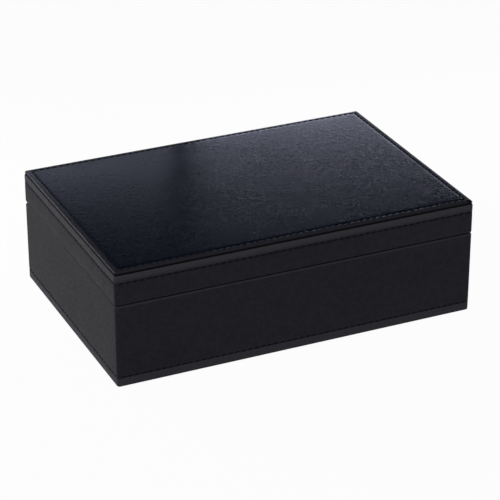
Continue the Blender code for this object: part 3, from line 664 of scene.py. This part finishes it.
def press_sides(piece, row):
    """Presses the stitch row in, less so round the corners, and leans the foot of the base inwards."""
    for vert in piece.data.vertices:
        core, out = outline_frame(vert.co.x, vert.co.y)
        along_front = abs(out.y) > abs(out.x)
        squareness = max(abs(out.x), abs(out.y)) / out.length
        depth = pressed(vert.co.z - row, stitch_phase(core, along_front)) * squareness**CORNER_POWER
        depth += uneven(vert.co) + FOOT_LEAN * max(0, 1 - vert.co.z / FOOT_HEIGHT)
        moved = core + out.normalized() * (out.length - depth)
        vert.co.x, vert.co.y = moved.x, moved.y


def rear_bevel(piece, rim, inset, upwards):
    """Slices the rear edge off at the hinges' bevel. The piece is in edit mode."""
    normal = Vector((0, REAR_BEVEL_DROP, upwards * REAR_BEVEL_DEPTH)).normalized()
    corner = Vector((0, HALF_WIDTH, rim - upwards * REAR_BEVEL_DROP)) - normal * inset
    bpy.ops.mesh.select_all(action="SELECT")
    bpy.ops.mesh.bisect(plane_co=corner, plane_no=normal, use_fill=True, clear_outer=True)


def leather_body(name, low, high, row, radii, upwards):
    """The outside of a covering. radii are those of its lower and upper edges."""
    piece = start_block(name, (-HALF_LENGTH, -HALF_WIDTH, low), (HALF_LENGTH, HALF_WIDTH, high))
    bpy.ops.object.mode_set(mode="EDIT")
    select_edges(piece, lambda edge: run_of(edge, 2) > 0)
    bpy.ops.mesh.bevel(offset=CORNER_RADIUS, segments=CORNER_STEPS, affect="EDGES")
    round_outline(piece, low, radii[0])
    round_outline(piece, high, radii[1])
    select_faces(piece, lambda face: abs(face.normal.z) > 0.999)
    bpy.ops.mesh.delete(type="ONLY_FACE")
    cut_columns(piece, 0, STRAIGHT_LENGTH, STITCHES_ALONG)
    cut_columns(piece, 1, STRAIGHT_WIDTH, STITCHES_ACROSS)
    cut_rows(piece, low + radii[0], high - radii[1], row)
    bpy.ops.object.mode_set(mode="OBJECT")
    press_sides(piece, row)
    bpy.ops.object.mode_set(mode="EDIT")
    bpy.ops.mesh.select_all(action="SELECT")
    bpy.ops.mesh.fill_holes(sides=0)
    rear_bevel(piece, high if upwards > 0 else low, 0, upwards)
    bpy.ops.mesh.select_all(action="SELECT")
    bpy.ops.mesh.normals_make_consistent(inside=False)
    bpy.ops.object.mode_set(mode="OBJECT")
    return piece


# %% [markdown]
# ## Hollowing the coverings
# The rooms for the boards are read from the solids inside, each grown by the gap
# that touching pieces keep. The leather then ends up a millimetre thick and turned in
# over the rims, as on the real box. Two windows at the back let the hinges in.

# %% Rooms and windows
WINDOW_REACH = 0.0020


def around(nodes):
    """The box round some solids, grown by the gap that touching pieces keep."""
    boxes = [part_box(node) for node in nodes]
    low = Vector([min(box[0][axis] for box in boxes) - SEAT for axis in range(3)])
    high = Vector([max(box[1][axis] for box in boxes) + SEAT for axis in range(3)])
    return low, high


def board_room(name, nodes, rim, upwards):
    room = start_block(name, *around(nodes))
    bpy.ops.object.mode_set(mode="EDIT")
    rear_bevel(room, rim, LEATHER_THICKNESS, upwards)
    bpy.ops.object.mode_set(mode="OBJECT")
    return room


def passage(name, nodes, low, high):
    """A room as wide as these solids, but between two given heights."""
    near, far = around(nodes)
    return start_block(name, (near.x, near.y, low), (far.x, far.y, high))


def hinge_windows(side):
    near, far = around([f"hinge_{side}_pin"])
    leaf, _ = around([f"hinge_{side}_base_leaf"])
    middle = (near.z + far.z) / 2
    low = (near.x, leaf.y, middle - WINDOW_REACH)
    high = (far.x, far.y + WINDOW_REACH, middle + WINDOW_REACH)
    return start_block(f"{side}_window", low, high)


def smooth(piece, degrees=35):
    bpy.ops.object.select_all(action="DESELECT")
    piece.select_set(True)
    bpy.context.view_layer.objects.active = piece
    bpy.ops.object.shade_smooth_by_angle(angle=math.radians(degrees))


base_low, base_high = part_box("base_wrap")
lid_low, lid_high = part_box("lid_wrap")
print("base leather", round(base_high.z - base_low.z, 4), "m high")
print("lid leather", round(lid_high.z - lid_low.z, 4), "m high")

# %% [markdown]
# ## The base's covering
# The base's leather turns in over the rim, and under the bottom round the cover sheet.
# A thickness modifier would give an even wall with no turned edges, so the rooms for
# the boards, the mouth and the foot are cut out instead.

# %% Leather of the base
BASE_EDGE_RADII = (0.0006, 0.0012)
base_leather = leather_body("base_leather", base_low.z, base_high.z, base_row, BASE_EDGE_RADII, 1)
take_away(
    base_leather,
    board_room("base_room", ["base_bottom_board", "base_front_board", "base_back_board"], base_high.z, 1),
    passage("base_mouth", ["base_wall_lining"], base_row, base_high.z + SEAT),
    passage("base_foot", ["bottom_cover"], base_low.z - SEAT, base_row),
    hinge_windows("left"),
    hinge_windows("right"),
)
smooth(base_leather)
hand_over(base_leather, "base", "black_leather", side_leather, "base_wrap")

# %% [markdown]
# ## The lid's covering
# The lid's leather is the base's turned over: its mouth is below, and its turned-in
# edge on top stops short under the panel, which hides it. Its upper edge has a larger
# round, where the leather is drawn over the board.

# %% Leather of the lid
LID_EDGE_RADII = (0.0004, 0.0020)
lid_leather = leather_body("lid_leather", lid_low.z, lid_high.z, lid_row, LID_EDGE_RADII, -1)
crown_half = Vector((HALF_LENGTH - LID_TURN_IN, HALF_WIDTH - LID_TURN_IN))
take_away(
    lid_leather,
    board_room("lid_room", ["lid_top_board", "lid_front_rail", "lid_back_rail"], lid_low.z, -1),
    passage("lid_mouth", ["lid_wall_lining"], lid_low.z - SEAT, lid_row),
    start_block("lid_crown", (*-crown_half, lid_row), (*crown_half, lid_high.z + SEAT)),
    hinge_windows("left"),
    hinge_windows("right"),
)
smooth(lid_leather)
hand_over(lid_leather, "lid", "black_leather", side_leather, "lid_wrap")

# %% [markdown]
# ## The top panel
# A separate piece of leather over stiff card lies on the lid. Its field is very slightly
# crowned, it dips at the stitches, and its border rolls over. A grid serves best here,
# because the field has to bend in both directions: its lines are spaced a sixth of a
# stitch apart over the field and closer beyond the row, and its heights follow a formula.

# %% Top panel
BORDER_LINES = (0.0005, 0.0010, 0.0016, 0.0022, 0.0028, 0.0033, 0.0037, 0.0040, 0.00415)
BORDER_ROLL = 0.0042
BORDER_DROP = 0.0013
FIELD_CROWN = 0.00015
CROWN_WIDTH = 0.014

panel_low, panel_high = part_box("top_panel_leather")
TOP_STITCHES_ALONG = round(2 * ROW_HALF_LENGTH / STITCH_LENGTH)
TOP_STITCHES_ACROSS = round(2 * ROW_HALF_WIDTH / STITCH_LENGTH)
PANEL_CORNER = CORNER_RADIUS - (HALF_LENGTH - panel_high.x)


def grid_lines(row_half, panel_half, stitches):
    """Where the lines of the grid lie along one axis: even inside the row, closer outside it."""
    cells = stitches * COLUMNS_PER_STITCH
    inside = [row_half * (2 * index / cells - 1) for index in range(cells + 1)]
    outside = [row_half + distance for distance in BORDER_LINES] + [panel_half]
    return [-line for line in reversed(outside)] + inside + outside


def rounded_corner(x, y):
    """Draws the corner squares of the grid in to quarter circles."""
    core_x = max(0, abs(x) - (panel_high.x - PANEL_CORNER))
    core_y = max(0, abs(y) - (panel_high.y - PANEL_CORNER))
    reach = math.hypot(core_x, core_y)
    share = max(core_x, core_y) / reach if reach > 0 else 1
    return (
        math.copysign(abs(x) - core_x + core_x * share, x),
        math.copysign(abs(y) - core_y + core_y * share, y),
    )


def panel_height(x, y):
    """The height of the panel's top over one point of its plan."""
    to_edge = min(panel_high.x - abs(x), panel_high.y - abs(y))
    beyond_x = abs(x) - ROW_HALF_LENGTH
    beyond_y = abs(y) - ROW_HALF_WIDTH
    on_end = beyond_x > beyond_y
    to_row = max(beyond_x, beyond_y)
    phase = (
        (y / ROW_HALF_WIDTH + 1) / 2 * TOP_STITCHES_ACROSS
        if on_end
        else (x / ROW_HALF_LENGTH + 1) / 2 * TOP_STITCHES_ALONG
    )
    crown = FIELD_CROWN * math.exp(-max(0, -to_row) / CROWN_WIDTH)
    roll = max(0, 1 - to_edge / BORDER_ROLL)
    drop = BORDER_DROP * (1 - math.sqrt(1 - roll**2))
    dip = TOP_PRESS_SHARE * pressed(to_row, phase)
    return panel_high.z - crown - dip - uneven(Vector((x, y, 0))) - drop


lines_x = grid_lines(ROW_HALF_LENGTH, panel_high.x, TOP_STITCHES_ALONG)
lines_y = grid_lines(ROW_HALF_WIDTH, panel_high.y, TOP_STITCHES_ACROSS)
bpy.ops.object.select_all(action="DESELECT")
bpy.ops.mesh.primitive_grid_add(x_subdivisions=len(lines_x) - 1, y_subdivisions=len(lines_y) - 1, size=2)
panel_leather = bpy.context.object
panel_leather.name = "panel_leather"
for vert in panel_leather.data.vertices:
    column = round((vert.co.x + 1) / 2 * (len(lines_x) - 1))
    line = round((vert.co.y + 1) / 2 * (len(lines_y) - 1))
    height = panel_height(lines_x[column], lines_y[line])
    vert.co = (*rounded_corner(lines_x[column], lines_y[line]), height)
print("panel grid", len(lines_x), "by", len(lines_y), "lines")

# %% [markdown]
# ## The panel's turned edge
# The leather wraps the card's edge and ends under it. A second grid joined below would
# leave a seam, so the open border is extruded instead: down, inwards, and up round the
# card, and then closed.

# %% Turn the panel's edge down and under its card
card_room = around(["top_panel_core"])[1]
edge_height = panel_leather.data.vertices[0].co.z

bpy.ops.object.mode_set(mode="EDIT")
select_edges(panel_leather, lambda edge: edge.is_boundary)
bpy.ops.mesh.extrude_region_move(TRANSFORM_OT_translate={"value": (0, 0, panel_low.z - edge_height)})
bpy.ops.transform.resize(value=(1, 1, 0), center_override=(0, 0, panel_low.z))
bpy.ops.mesh.extrude_region_move()
shrink = (card_room.x / panel_high.x, card_room.y / panel_high.y, 1)
bpy.ops.transform.resize(value=shrink, center_override=(0, 0, panel_low.z))
bpy.ops.mesh.extrude_region_move(TRANSFORM_OT_translate={"value": (0, 0, card_room.z - panel_low.z)})
bpy.ops.mesh.edge_face_add()
bpy.ops.mesh.select_all(action="SELECT")
bpy.ops.mesh.normals_make_consistent(inside=False)
bpy.ops.object.mode_set(mode="OBJECT")
smooth(panel_leather, 60)
hand_over(panel_leather, "lid", "black_leather", top_leather, "top_panel_leather")

# %% [markdown]
# ## The stitches
# Each stitch is a short length of twisted thread that comes up through one hole and goes
# down through the next. It lies a little aslant, because the needle enters the leather
# at an angle. There are several hundred of them, so one is modelled with a few dozen
# faces: a six-sided rod, thinner and lower at its ends. Every other stitch is a copy
# with its own mesh, and each row is joined into one piece.

# %% One stitch
THREAD_RADIUS = 0.00055
THREAD_SIDES = 6
THREAD_CUTS = 5
STITCH_SHARE = 0.74
STITCH_SLANT = math.radians(16)
STITCH_DIP = 0.00045
STITCH_TAPER_SHARE = 0.45
STITCH_END_POWER = 4
SIDE_STITCH_RISE = 0.00014


def model_stitch(length):
    bpy.ops.object.select_all(action="DESELECT")
    bpy.ops.mesh.primitive_cylinder_add(vertices=THREAD_SIDES, radius=THREAD_RADIUS, depth=length)
    stitch = bpy.context.object
    bpy.ops.object.mode_set(mode="EDIT")
    select_edges(stitch, lambda edge: run_of(edge, 2) > 0)
    bpy.ops.mesh.subdivide(number_cuts=THREAD_CUTS)
    bpy.ops.object.mode_set(mode="OBJECT")
    for vert in stitch.data.vertices:
        share = 2 * vert.co.z / length
        to_end = share**STITCH_END_POWER
        width = 1 - STITCH_TAPER_SHARE * to_end
        vert.co.x *= width
        vert.co.y = vert.co.y * width - STITCH_DIP * to_end
    stitch.data.transform(Matrix.Rotation(math.radians(90), 4, "Y"))
    stitch.data.transform(Matrix.Rotation(math.radians(90), 4, "X"))
    return stitch


sample = model_stitch(STITCH_LENGTH * STITCH_SHARE)
print("one stitch has", len(sample.data.polygons), "faces")

# %% [markdown]
# ## Sewing the rows
# A sewing machine makes every stitch alike, so copying one is true to the box. An
# array along a curve would do it too, but it turns the stitches at the corners. Two
# short loops place each stitch by its number instead, in the middle of its own groove.

# %% Rows of stitches
THREAD_TWIST = 0.0005
THREAD_BLACKS = ((0.002, 0.002, 0.003), (0.007, 0.007, 0.009))
thread = ribbed("black_thread", *THREAD_BLACKS, THREAD_TWIST, (1, 1, 0), shine=0.05)


def stitch_places(half_length, half_width, along, across, corner):
    """Middle and direction of every stitch round a rectangle, on its straight sides."""
    for middle_side, half_run, half_off, count, turned in (
        (0, half_length - corner, half_width, along, False),
        (0, half_width - corner, half_length, across, True),
    ):
        pitch = 2 * half_run / count
        for sign in (-1, 1):
            for index in range(count):
                run = middle_side - half_run + pitch * (index + 0.5)
                place = (sign * half_off, run) if turned else (run, sign * half_off)
                yield Vector(place), turned, sign


def stitch_row(name, places, height, flat):
    """Copies the stitch to every place and joins the copies. A flat row lies on a level face."""
    copies = []
    for place, turned, sign in places:
        mesh = sample.data.copy()
        spin = Matrix.Rotation(STITCH_SLANT, 4, "Z")
        if flat:
            heading = Matrix.Rotation(math.radians(90 if turned else 0), 4, "Z")
            mesh.transform(heading @ spin)
            mesh.transform(Matrix.Translation((place.x, place.y, height)))
        else:
            tip = Matrix.Rotation(math.radians(90), 4, "X")
            facing = {(False, -1): 0, (False, 1): 180, (True, -1): -90, (True, 1): 90}[(turned, sign)]
            heading = Matrix.Rotation(math.radians(facing), 4, "Z")
            mesh.transform(heading @ tip @ spin)
            mesh.transform(Matrix.Translation((place.x, place.y, height)))
        copy = bpy.data.objects.new(name, mesh)
        bpy.context.scene.collection.objects.link(copy)
        copies.append(copy)
    bpy.ops.object.select_all(action="DESELECT")
    for copy in copies:
        copy.select_set(True)
    bpy.context.view_layer.objects.active = copies[0]
    bpy.ops.object.join()
    row = bpy.context.object
    row.name = name
    smooth(row, 60)
    return row


side_depth = pressed(0, 0.5) - SIDE_STITCH_RISE
side_halves = (HALF_LENGTH - side_depth, HALF_WIDTH - side_depth)
side_corner = CORNER_RADIUS - side_depth
side_places = list(stitch_places(*side_halves, STITCHES_ALONG, STITCHES_ACROSS, side_corner))
base_stitches = stitch_row("base_stitches", side_places, base_row, flat=False)
hand_over(base_stitches, "base", "black_thread", thread, "base_stitching")
lid_stitches = stitch_row("lid_stitches", side_places, lid_row, flat=False)
hand_over(lid_stitches, "lid", "black_thread", thread, "lid_side_stitching")
top_places = stitch_places(ROW_HALF_LENGTH, ROW_HALF_WIDTH, TOP_STITCHES_ALONG, TOP_STITCHES_ACROSS, 0)
top_height = panel_high.z - FIELD_CROWN - TOP_PRESS_SHARE * pressed(0, 0.5)
top_stitches = stitch_row("top_stitches", top_places, top_height, flat=True)
hand_over(top_stitches, "lid", "black_thread", thread, "top_stitching")
bpy.data.objects.remove(sample)

# %% [markdown]
# ## Padded ring rolls
# Rings stand between rolls of foam covered in suede. Foam pushes its cover out, which
# no formula does quite as well as blowing it up: a slightly small block is remeshed
# evenly, inflated as cloth for a few steps, and held inside the space that its solid
# has. One roll is simulated, and the other four are copies of it.

# %% One roll, inflated
ROLL_SMALLER = 0.0007
ROLL_ROUNDING = 0.0048
ROLL_VOXEL = 0.0013
ROLL_PRESSURE = 4.0
ROLL_FRAMES = 20
ROLL_ROOM = 0.00005
rolls = sorted(node for node in frame["nodes"] if node.startswith("ring_roll_"))


def inflate(piece):
    """Blows a closed mesh up as cloth, with no gravity, and keeps the result."""
    cloth = piece.modifiers.new("cloth", "CLOTH")
    cloth.settings.use_pressure = True
    cloth.settings.uniform_pressure_force = ROLL_PRESSURE
    cloth.settings.effector_weights.gravity = 0
    for step in range(1, ROLL_FRAMES + 1):
        bpy.context.scene.frame_set(step)
    bpy.ops.object.modifier_apply(modifier=cloth.name)
    bpy.context.scene.frame_set(1)


roll_low, roll_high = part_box(rolls[0])
shrink = Vector((ROLL_SMALLER,) * 3)
first_roll = start_block("padded_" + rolls[0], roll_low + shrink, roll_high - shrink)
bpy.ops.object.mode_set(mode="EDIT")
bpy.ops.mesh.select_all(action="SELECT")
bpy.ops.mesh.bevel(offset=ROLL_ROUNDING, segments=4, affect="EDGES")
bpy.ops.object.mode_set(mode="OBJECT")
first_roll.data.remesh_voxel_size = ROLL_VOXEL
bpy.ops.object.voxel_remesh()
inflate(first_roll)
for vert in first_roll.data.vertices:
    for axis in range(3):
        vert.co[axis] = max(roll_low[axis] + ROLL_ROOM, min(roll_high[axis] - ROLL_ROOM, vert.co[axis]))
print("the first roll has", len(first_roll.data.polygons), "faces")

# %% [markdown]
# ## The other rolls
# The five rolls have one size, and inflating each anew would take five times as long
# for differences that don't show. Each copy gets a mesh of its own and moves by the
# distance between the solids' corners. All of them are named as padded, since foam
# and not a hard skin fills them.

# %% Copies of the roll
smooth(first_roll, 80)
padded_rolls = [first_roll]
for node in rolls[1:]:
    mesh = first_roll.data.copy()
    mesh.transform(Matrix.Translation(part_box(node)[0] - roll_low))
    roll = bpy.data.objects.new("padded_" + node, mesh)
    bpy.context.scene.collection.objects.link(roll)
    padded_rolls.append(roll)
for node, roll in zip(rolls, padded_rolls):
    hand_over(roll, "tray", "roll_suede", roll_suede, node)

# %% [markdown]
# ## Ribbon pulls
# Two ribbons are folded over to make tabs that lift the tray. A folded ribbon is two
# thin layers and a round turn at the top, so its side view is drawn as a path, one
# edge is extruded along it, and Solidify gives the cloth its thickness.

# %% Fold two ribbons
RIBBON_THICKNESS = 0.00035
RIBBON_TURN_STEPS = 6


def fold_path(low, high):
    """Side view of the fold: up one layer, round the top and down the other."""
    middle = (low.y + high.y) / 2
    radius = (high.y - low.y - RIBBON_THICKNESS) / 2
    top = high.z - radius - RIBBON_THICKNESS / 2
    turn = [math.pi * step / RIBBON_TURN_STEPS for step in range(RIBBON_TURN_STEPS + 1)]
    arc = [(middle - radius * math.cos(angle), top + radius * math.sin(angle)) for angle in turn]
    return [(middle - radius, low.z), *arc, (middle + radius, low.z)]


def fold_ribbon(name, node):
    low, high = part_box(node)
    path = fold_path(low, high)
    bpy.ops.object.select_all(action="DESELECT")
    bpy.ops.mesh.primitive_plane_add(size=1)
    ribbon = bpy.context.object
    ribbon.name = name
    (start_y, start_z), (next_y, next_z) = path[:2]
    for vert in ribbon.data.vertices:
        y, z = (start_y, start_z) if vert.co.y < 0 else (next_y, next_z)
        vert.co = (vert.co.x * (high.x - low.x), y, z)
    bpy.ops.object.mode_set(mode="EDIT")
    for (from_y, from_z), (to_y, to_z) in zip(path[1:], path[2:]):
        select_edges(
            ribbon,
            lambda edge: all((vert.co.yz - Vector((from_y, from_z))).length < 1e-6 for vert in edge.verts),
        )
        bpy.ops.mesh.extrude_region_move(TRANSFORM_OT_translate={"value": (0, to_y - from_y, to_z - from_z)})
    bpy.ops.mesh.select_all(action="SELECT")
    bpy.ops.mesh.normals_make_consistent(inside=False)
    bpy.ops.object.mode_set(mode="OBJECT")
    wall = ribbon.modifiers.new("thickness", "SOLIDIFY")
    wall.thickness = RIBBON_THICKNESS
    wall.offset = 0
    bpy.ops.object.modifier_apply(modifier=wall.name)
    smooth(ribbon, 50)
    return ribbon


for side in ("front", "back"):
    pull = fold_ribbon(f"ribbon_pull_{side}", f"tray_pull_{side}")
    hand_over(pull, "tray", "black_ribbon", black_ribbon, f"tray_pull_{side}")

# %% [markdown]
# ## Hinge screws
# The countersunk screws show only when the lid is open, and then each needs the slot
# that a screwdriver turns. The screw is a cone for the head, extruded and narrowed into
# a shank and a point, with a thin block cut out of its face.

# %% Screws with slots
SCREW_SIDES = 24
SLOT_WIDTH = 0.0004
SLOT_DEPTH = 0.00035
HEAD_DEPTH = 0.0008
SHANK_RADIUS = 0.0007


def model_screw(name, node):
    low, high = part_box(node)
    middle = (low + high) / 2
    radius = (high.x - low.x) / 2
    up = 1 if "base" in node else -1
    face = high.z if up > 0 else low.z
    length = high.z - low.z
    bpy.ops.object.select_all(action="DESELECT")
    bpy.ops.mesh.primitive_cone_add(
        vertices=SCREW_SIDES,
        radius1=SHANK_RADIUS,
        radius2=radius,
        depth=HEAD_DEPTH,
        location=(0, 0, -HEAD_DEPTH / 2),
    )
    screw = bpy.context.object
    screw.name = name
    bpy.ops.object.transform_apply(location=True, rotation=True, scale=True)
    bpy.ops.object.mode_set(mode="EDIT")
    select_faces(screw, lambda face: face.normal.z < -0.9)
    bpy.ops.mesh.extrude_region_move(TRANSFORM_OT_translate={"value": (0, 0, HEAD_DEPTH + radius - length)})
    bpy.ops.mesh.extrude_region_move(TRANSFORM_OT_translate={"value": (0, 0, -radius)})
    bpy.ops.transform.resize(value=(0.2, 0.2, 1))
    bpy.ops.object.mode_set(mode="OBJECT")
    slot_half = Vector((2 * radius, SLOT_WIDTH / 2, SLOT_DEPTH))
    take_away(screw, start_block("slot", -slot_half, slot_half))
    turn = Matrix.Rotation(0 if up > 0 else math.pi, 4, "X")
    screw.data.transform(Matrix.Translation((middle.x, middle.y, face)) @ turn)
    smooth(screw, 40)
    return screw


screw_nodes = sorted(node for node in frame["nodes"] if "_screw_" in node)
for node in screw_nodes:
    screw = model_screw("slotted_" + node, node)
    hand_over(screw, "base" if "base" in node else "lid", "brass", brass, node)

# %% [markdown]
# ## Floor, walls of light and lamps
# The photograph has a plain white ground. The floor shows white to the camera and in
# reflections, and still keeps a share of its own shading, so that the box casts its
# shadow on it. A white emitting floor alone would cast no shadow, and a painted one
# alone would look grey.

# %% Floor and surroundings
FLOOR_SIZE = 40
FLOOR_WHITE_SHARE = 0.96
AMBIENT_STRENGTH = 0.24


def seen_directly_or_mirrored(finish):
    """1 for rays from the camera, from a glossy surface or through glass, and 0 for others."""
    camera_ray = finish.node("ShaderNodeLightPath", output="Is Camera Ray")
    glossy_ray = finish.node("ShaderNodeLightPath", output="Is Glossy Ray")
    glass_ray = finish.node("ShaderNodeLightPath", output="Is Transmission Ray")
    return camera_ray.at_least(glossy_ray).at_least(glass_ray)


bpy.ops.object.select_all(action="DESELECT")
bpy.ops.mesh.primitive_plane_add(size=FLOOR_SIZE)
floor = bpy.context.object
floor.name = "floor"
finish = new_finish("white_floor")
paint = finish.node("ShaderNodeBsdfDiffuse", inputs={"Color": (0.85, 0.85, 0.85, 1)})
white = finish.node("ShaderNodeEmission", inputs={"Color": (1, 1, 1, 1), "Strength": 1})
share = seen_directly_or_mirrored(finish) * FLOOR_WHITE_SHARE
both = finish.node("ShaderNodeMixShader", inputs={0: share, 1: paint, 2: white})
finish.node("ShaderNodeOutputMaterial", inputs={"Surface": both})
floor.data.materials.append(finish.owner)

world = Finish(bpy.data.worlds.new("white_room"))
dim = world.node("ShaderNodeBackground", inputs={"Color": (1, 1, 1, 1), "Strength": AMBIENT_STRENGTH})
white = world.node("ShaderNodeBackground", inputs={"Color": (1, 1, 1, 1), "Strength": 1})
both = world.node("ShaderNodeMixShader", inputs={0: seen_directly_or_mirrored(world), 1: dim, 2: white})
world.node("ShaderNodeOutputWorld", inputs={"Surface": both})
bpy.context.scene.world = world.owner
print("floor", FLOOR_SIZE, "m wide")

# %% [markdown]
# ## The canopy
# Black leather shows what stands round it, and a white room would turn the lid grey.
# Studios hang dark cloth where the shine is unwanted. This canopy is light behind the
# camera and dark behind the box, and only reflections see it, so the white ground
# stays white.

# %% Canopy
CANOPY_RADIUS = 3.0
CANOPY_LOWEST = math.radians(0.5)
CANOPY_LIGHT = 0.9
CANOPY_DARK = 0.01
CANOPY_FADE = (-0.3, 0.3)
AWAY_FROM_CAMERA = Vector((-towards_camera.x, -towards_camera.y, 0)).normalized()

bpy.ops.object.select_all(action="DESELECT")
bpy.ops.mesh.primitive_uv_sphere_add(segments=48, ring_count=32, radius=CANOPY_RADIUS)
canopy = bpy.context.object
canopy.name = "canopy"
bpy.ops.object.mode_set(mode="EDIT")
bpy.ops.mesh.select_all(action="SELECT")
lowest_height = CANOPY_RADIUS * math.sin(CANOPY_LOWEST)
bpy.ops.mesh.bisect(plane_co=(0, 0, lowest_height), plane_no=(0, 0, 1), clear_inner=True)
bpy.ops.object.mode_set(mode="OBJECT")
finish = new_finish("canopy_cloth")
sockets = {0: finish.place(), 1: AWAY_FROM_CAMERA / CANOPY_RADIUS}
behind = finish.node("ShaderNodeVectorMath", {"operation": "DOT_PRODUCT"}, sockets, output="Value")
glow = finish.between(behind, CANOPY_LIGHT, CANOPY_DARK, *CANOPY_FADE)
dull = finish.node("ShaderNodeEmission", inputs={"Color": (1, 1, 1, 1), "Strength": glow})
finish.node("ShaderNodeOutputMaterial", inputs={"Surface": dull})
canopy.data.materials.append(finish.owner)
canopy.visible_camera = False
canopy.visible_diffuse = False
canopy.visible_shadow = False
canopy.visible_transmission = False
print("canopy from", round(lowest_height, 2), "m up")

# %% [markdown]
# ## Lamps
# Two softboxes in front and on the left light the sides. The sheen across the top comes
# from low, weak strips close behind the box: one big lamp high up would light the whole
# top evenly, but the strips fade from the back right corner to the front left. A card
# behind on the left lifts the far edge.

# %% Lamps
def softbox(name, place, aim, width, height, power, colour=(1, 1, 1)):
    lamp = bpy.data.lights.new(name, "AREA")
    lamp.shape = "RECTANGLE"
    lamp.size = width
    lamp.size_y = height
    lamp.energy = power
    lamp.color = colour
    holder = bpy.data.objects.new(name, lamp)
    holder.location = place
    holder.rotation_euler = (Vector(aim) - Vector(place)).to_track_quat("-Z", "Y").to_euler()
    holder.visible_camera = False
    bpy.context.scene.collection.objects.link(holder)
    print(name, "at", place, "with", power, "W")


BOX_MIDDLE = (0, 0, 0.04)
COOL_LIGHT = (0.75, 0.78, 1.0)
softbox("softbox_front", (-0.5, -1.0, 1.3), BOX_MIDDLE, 0.8, 0.8, 8)
softbox("softbox_left", (-1.5, 0.1, 0.7), BOX_MIDDLE, 0.9, 0.9, 2)
softbox("strip_behind_far", (0.35, 0.30, 0.150), (0.30, 0, 0.083), 0.50, 0.06, 0.38, COOL_LIGHT)
softbox("strip_behind_right", (0.30, 0.22, 0.130), (0.25, 0, 0.083), 0.30, 0.04, 0.024, COOL_LIGHT)
softbox("strip_behind_left", (-0.10, 0.16, 0.130), (-0.15, 0, 0.083), 0.20, 0.04, 0.013, COOL_LIGHT)
softbox("strip_behind_low", (-0.10, 0.13, 0.105), (-0.10, 0, 0.083), 0.20, 0.02, 0.010, COOL_LIGHT)
softbox("card_behind_left", (-0.30, 0.30, 0.20), BOX_MIDDLE, 0.25, 0.20, 0.6)

# %% [markdown]
# ## The view transform
# The view transform is the plain one, so that a colour comes out as it was written.

# %% View transform
bpy.context.scene.view_settings.view_transform = "Standard"
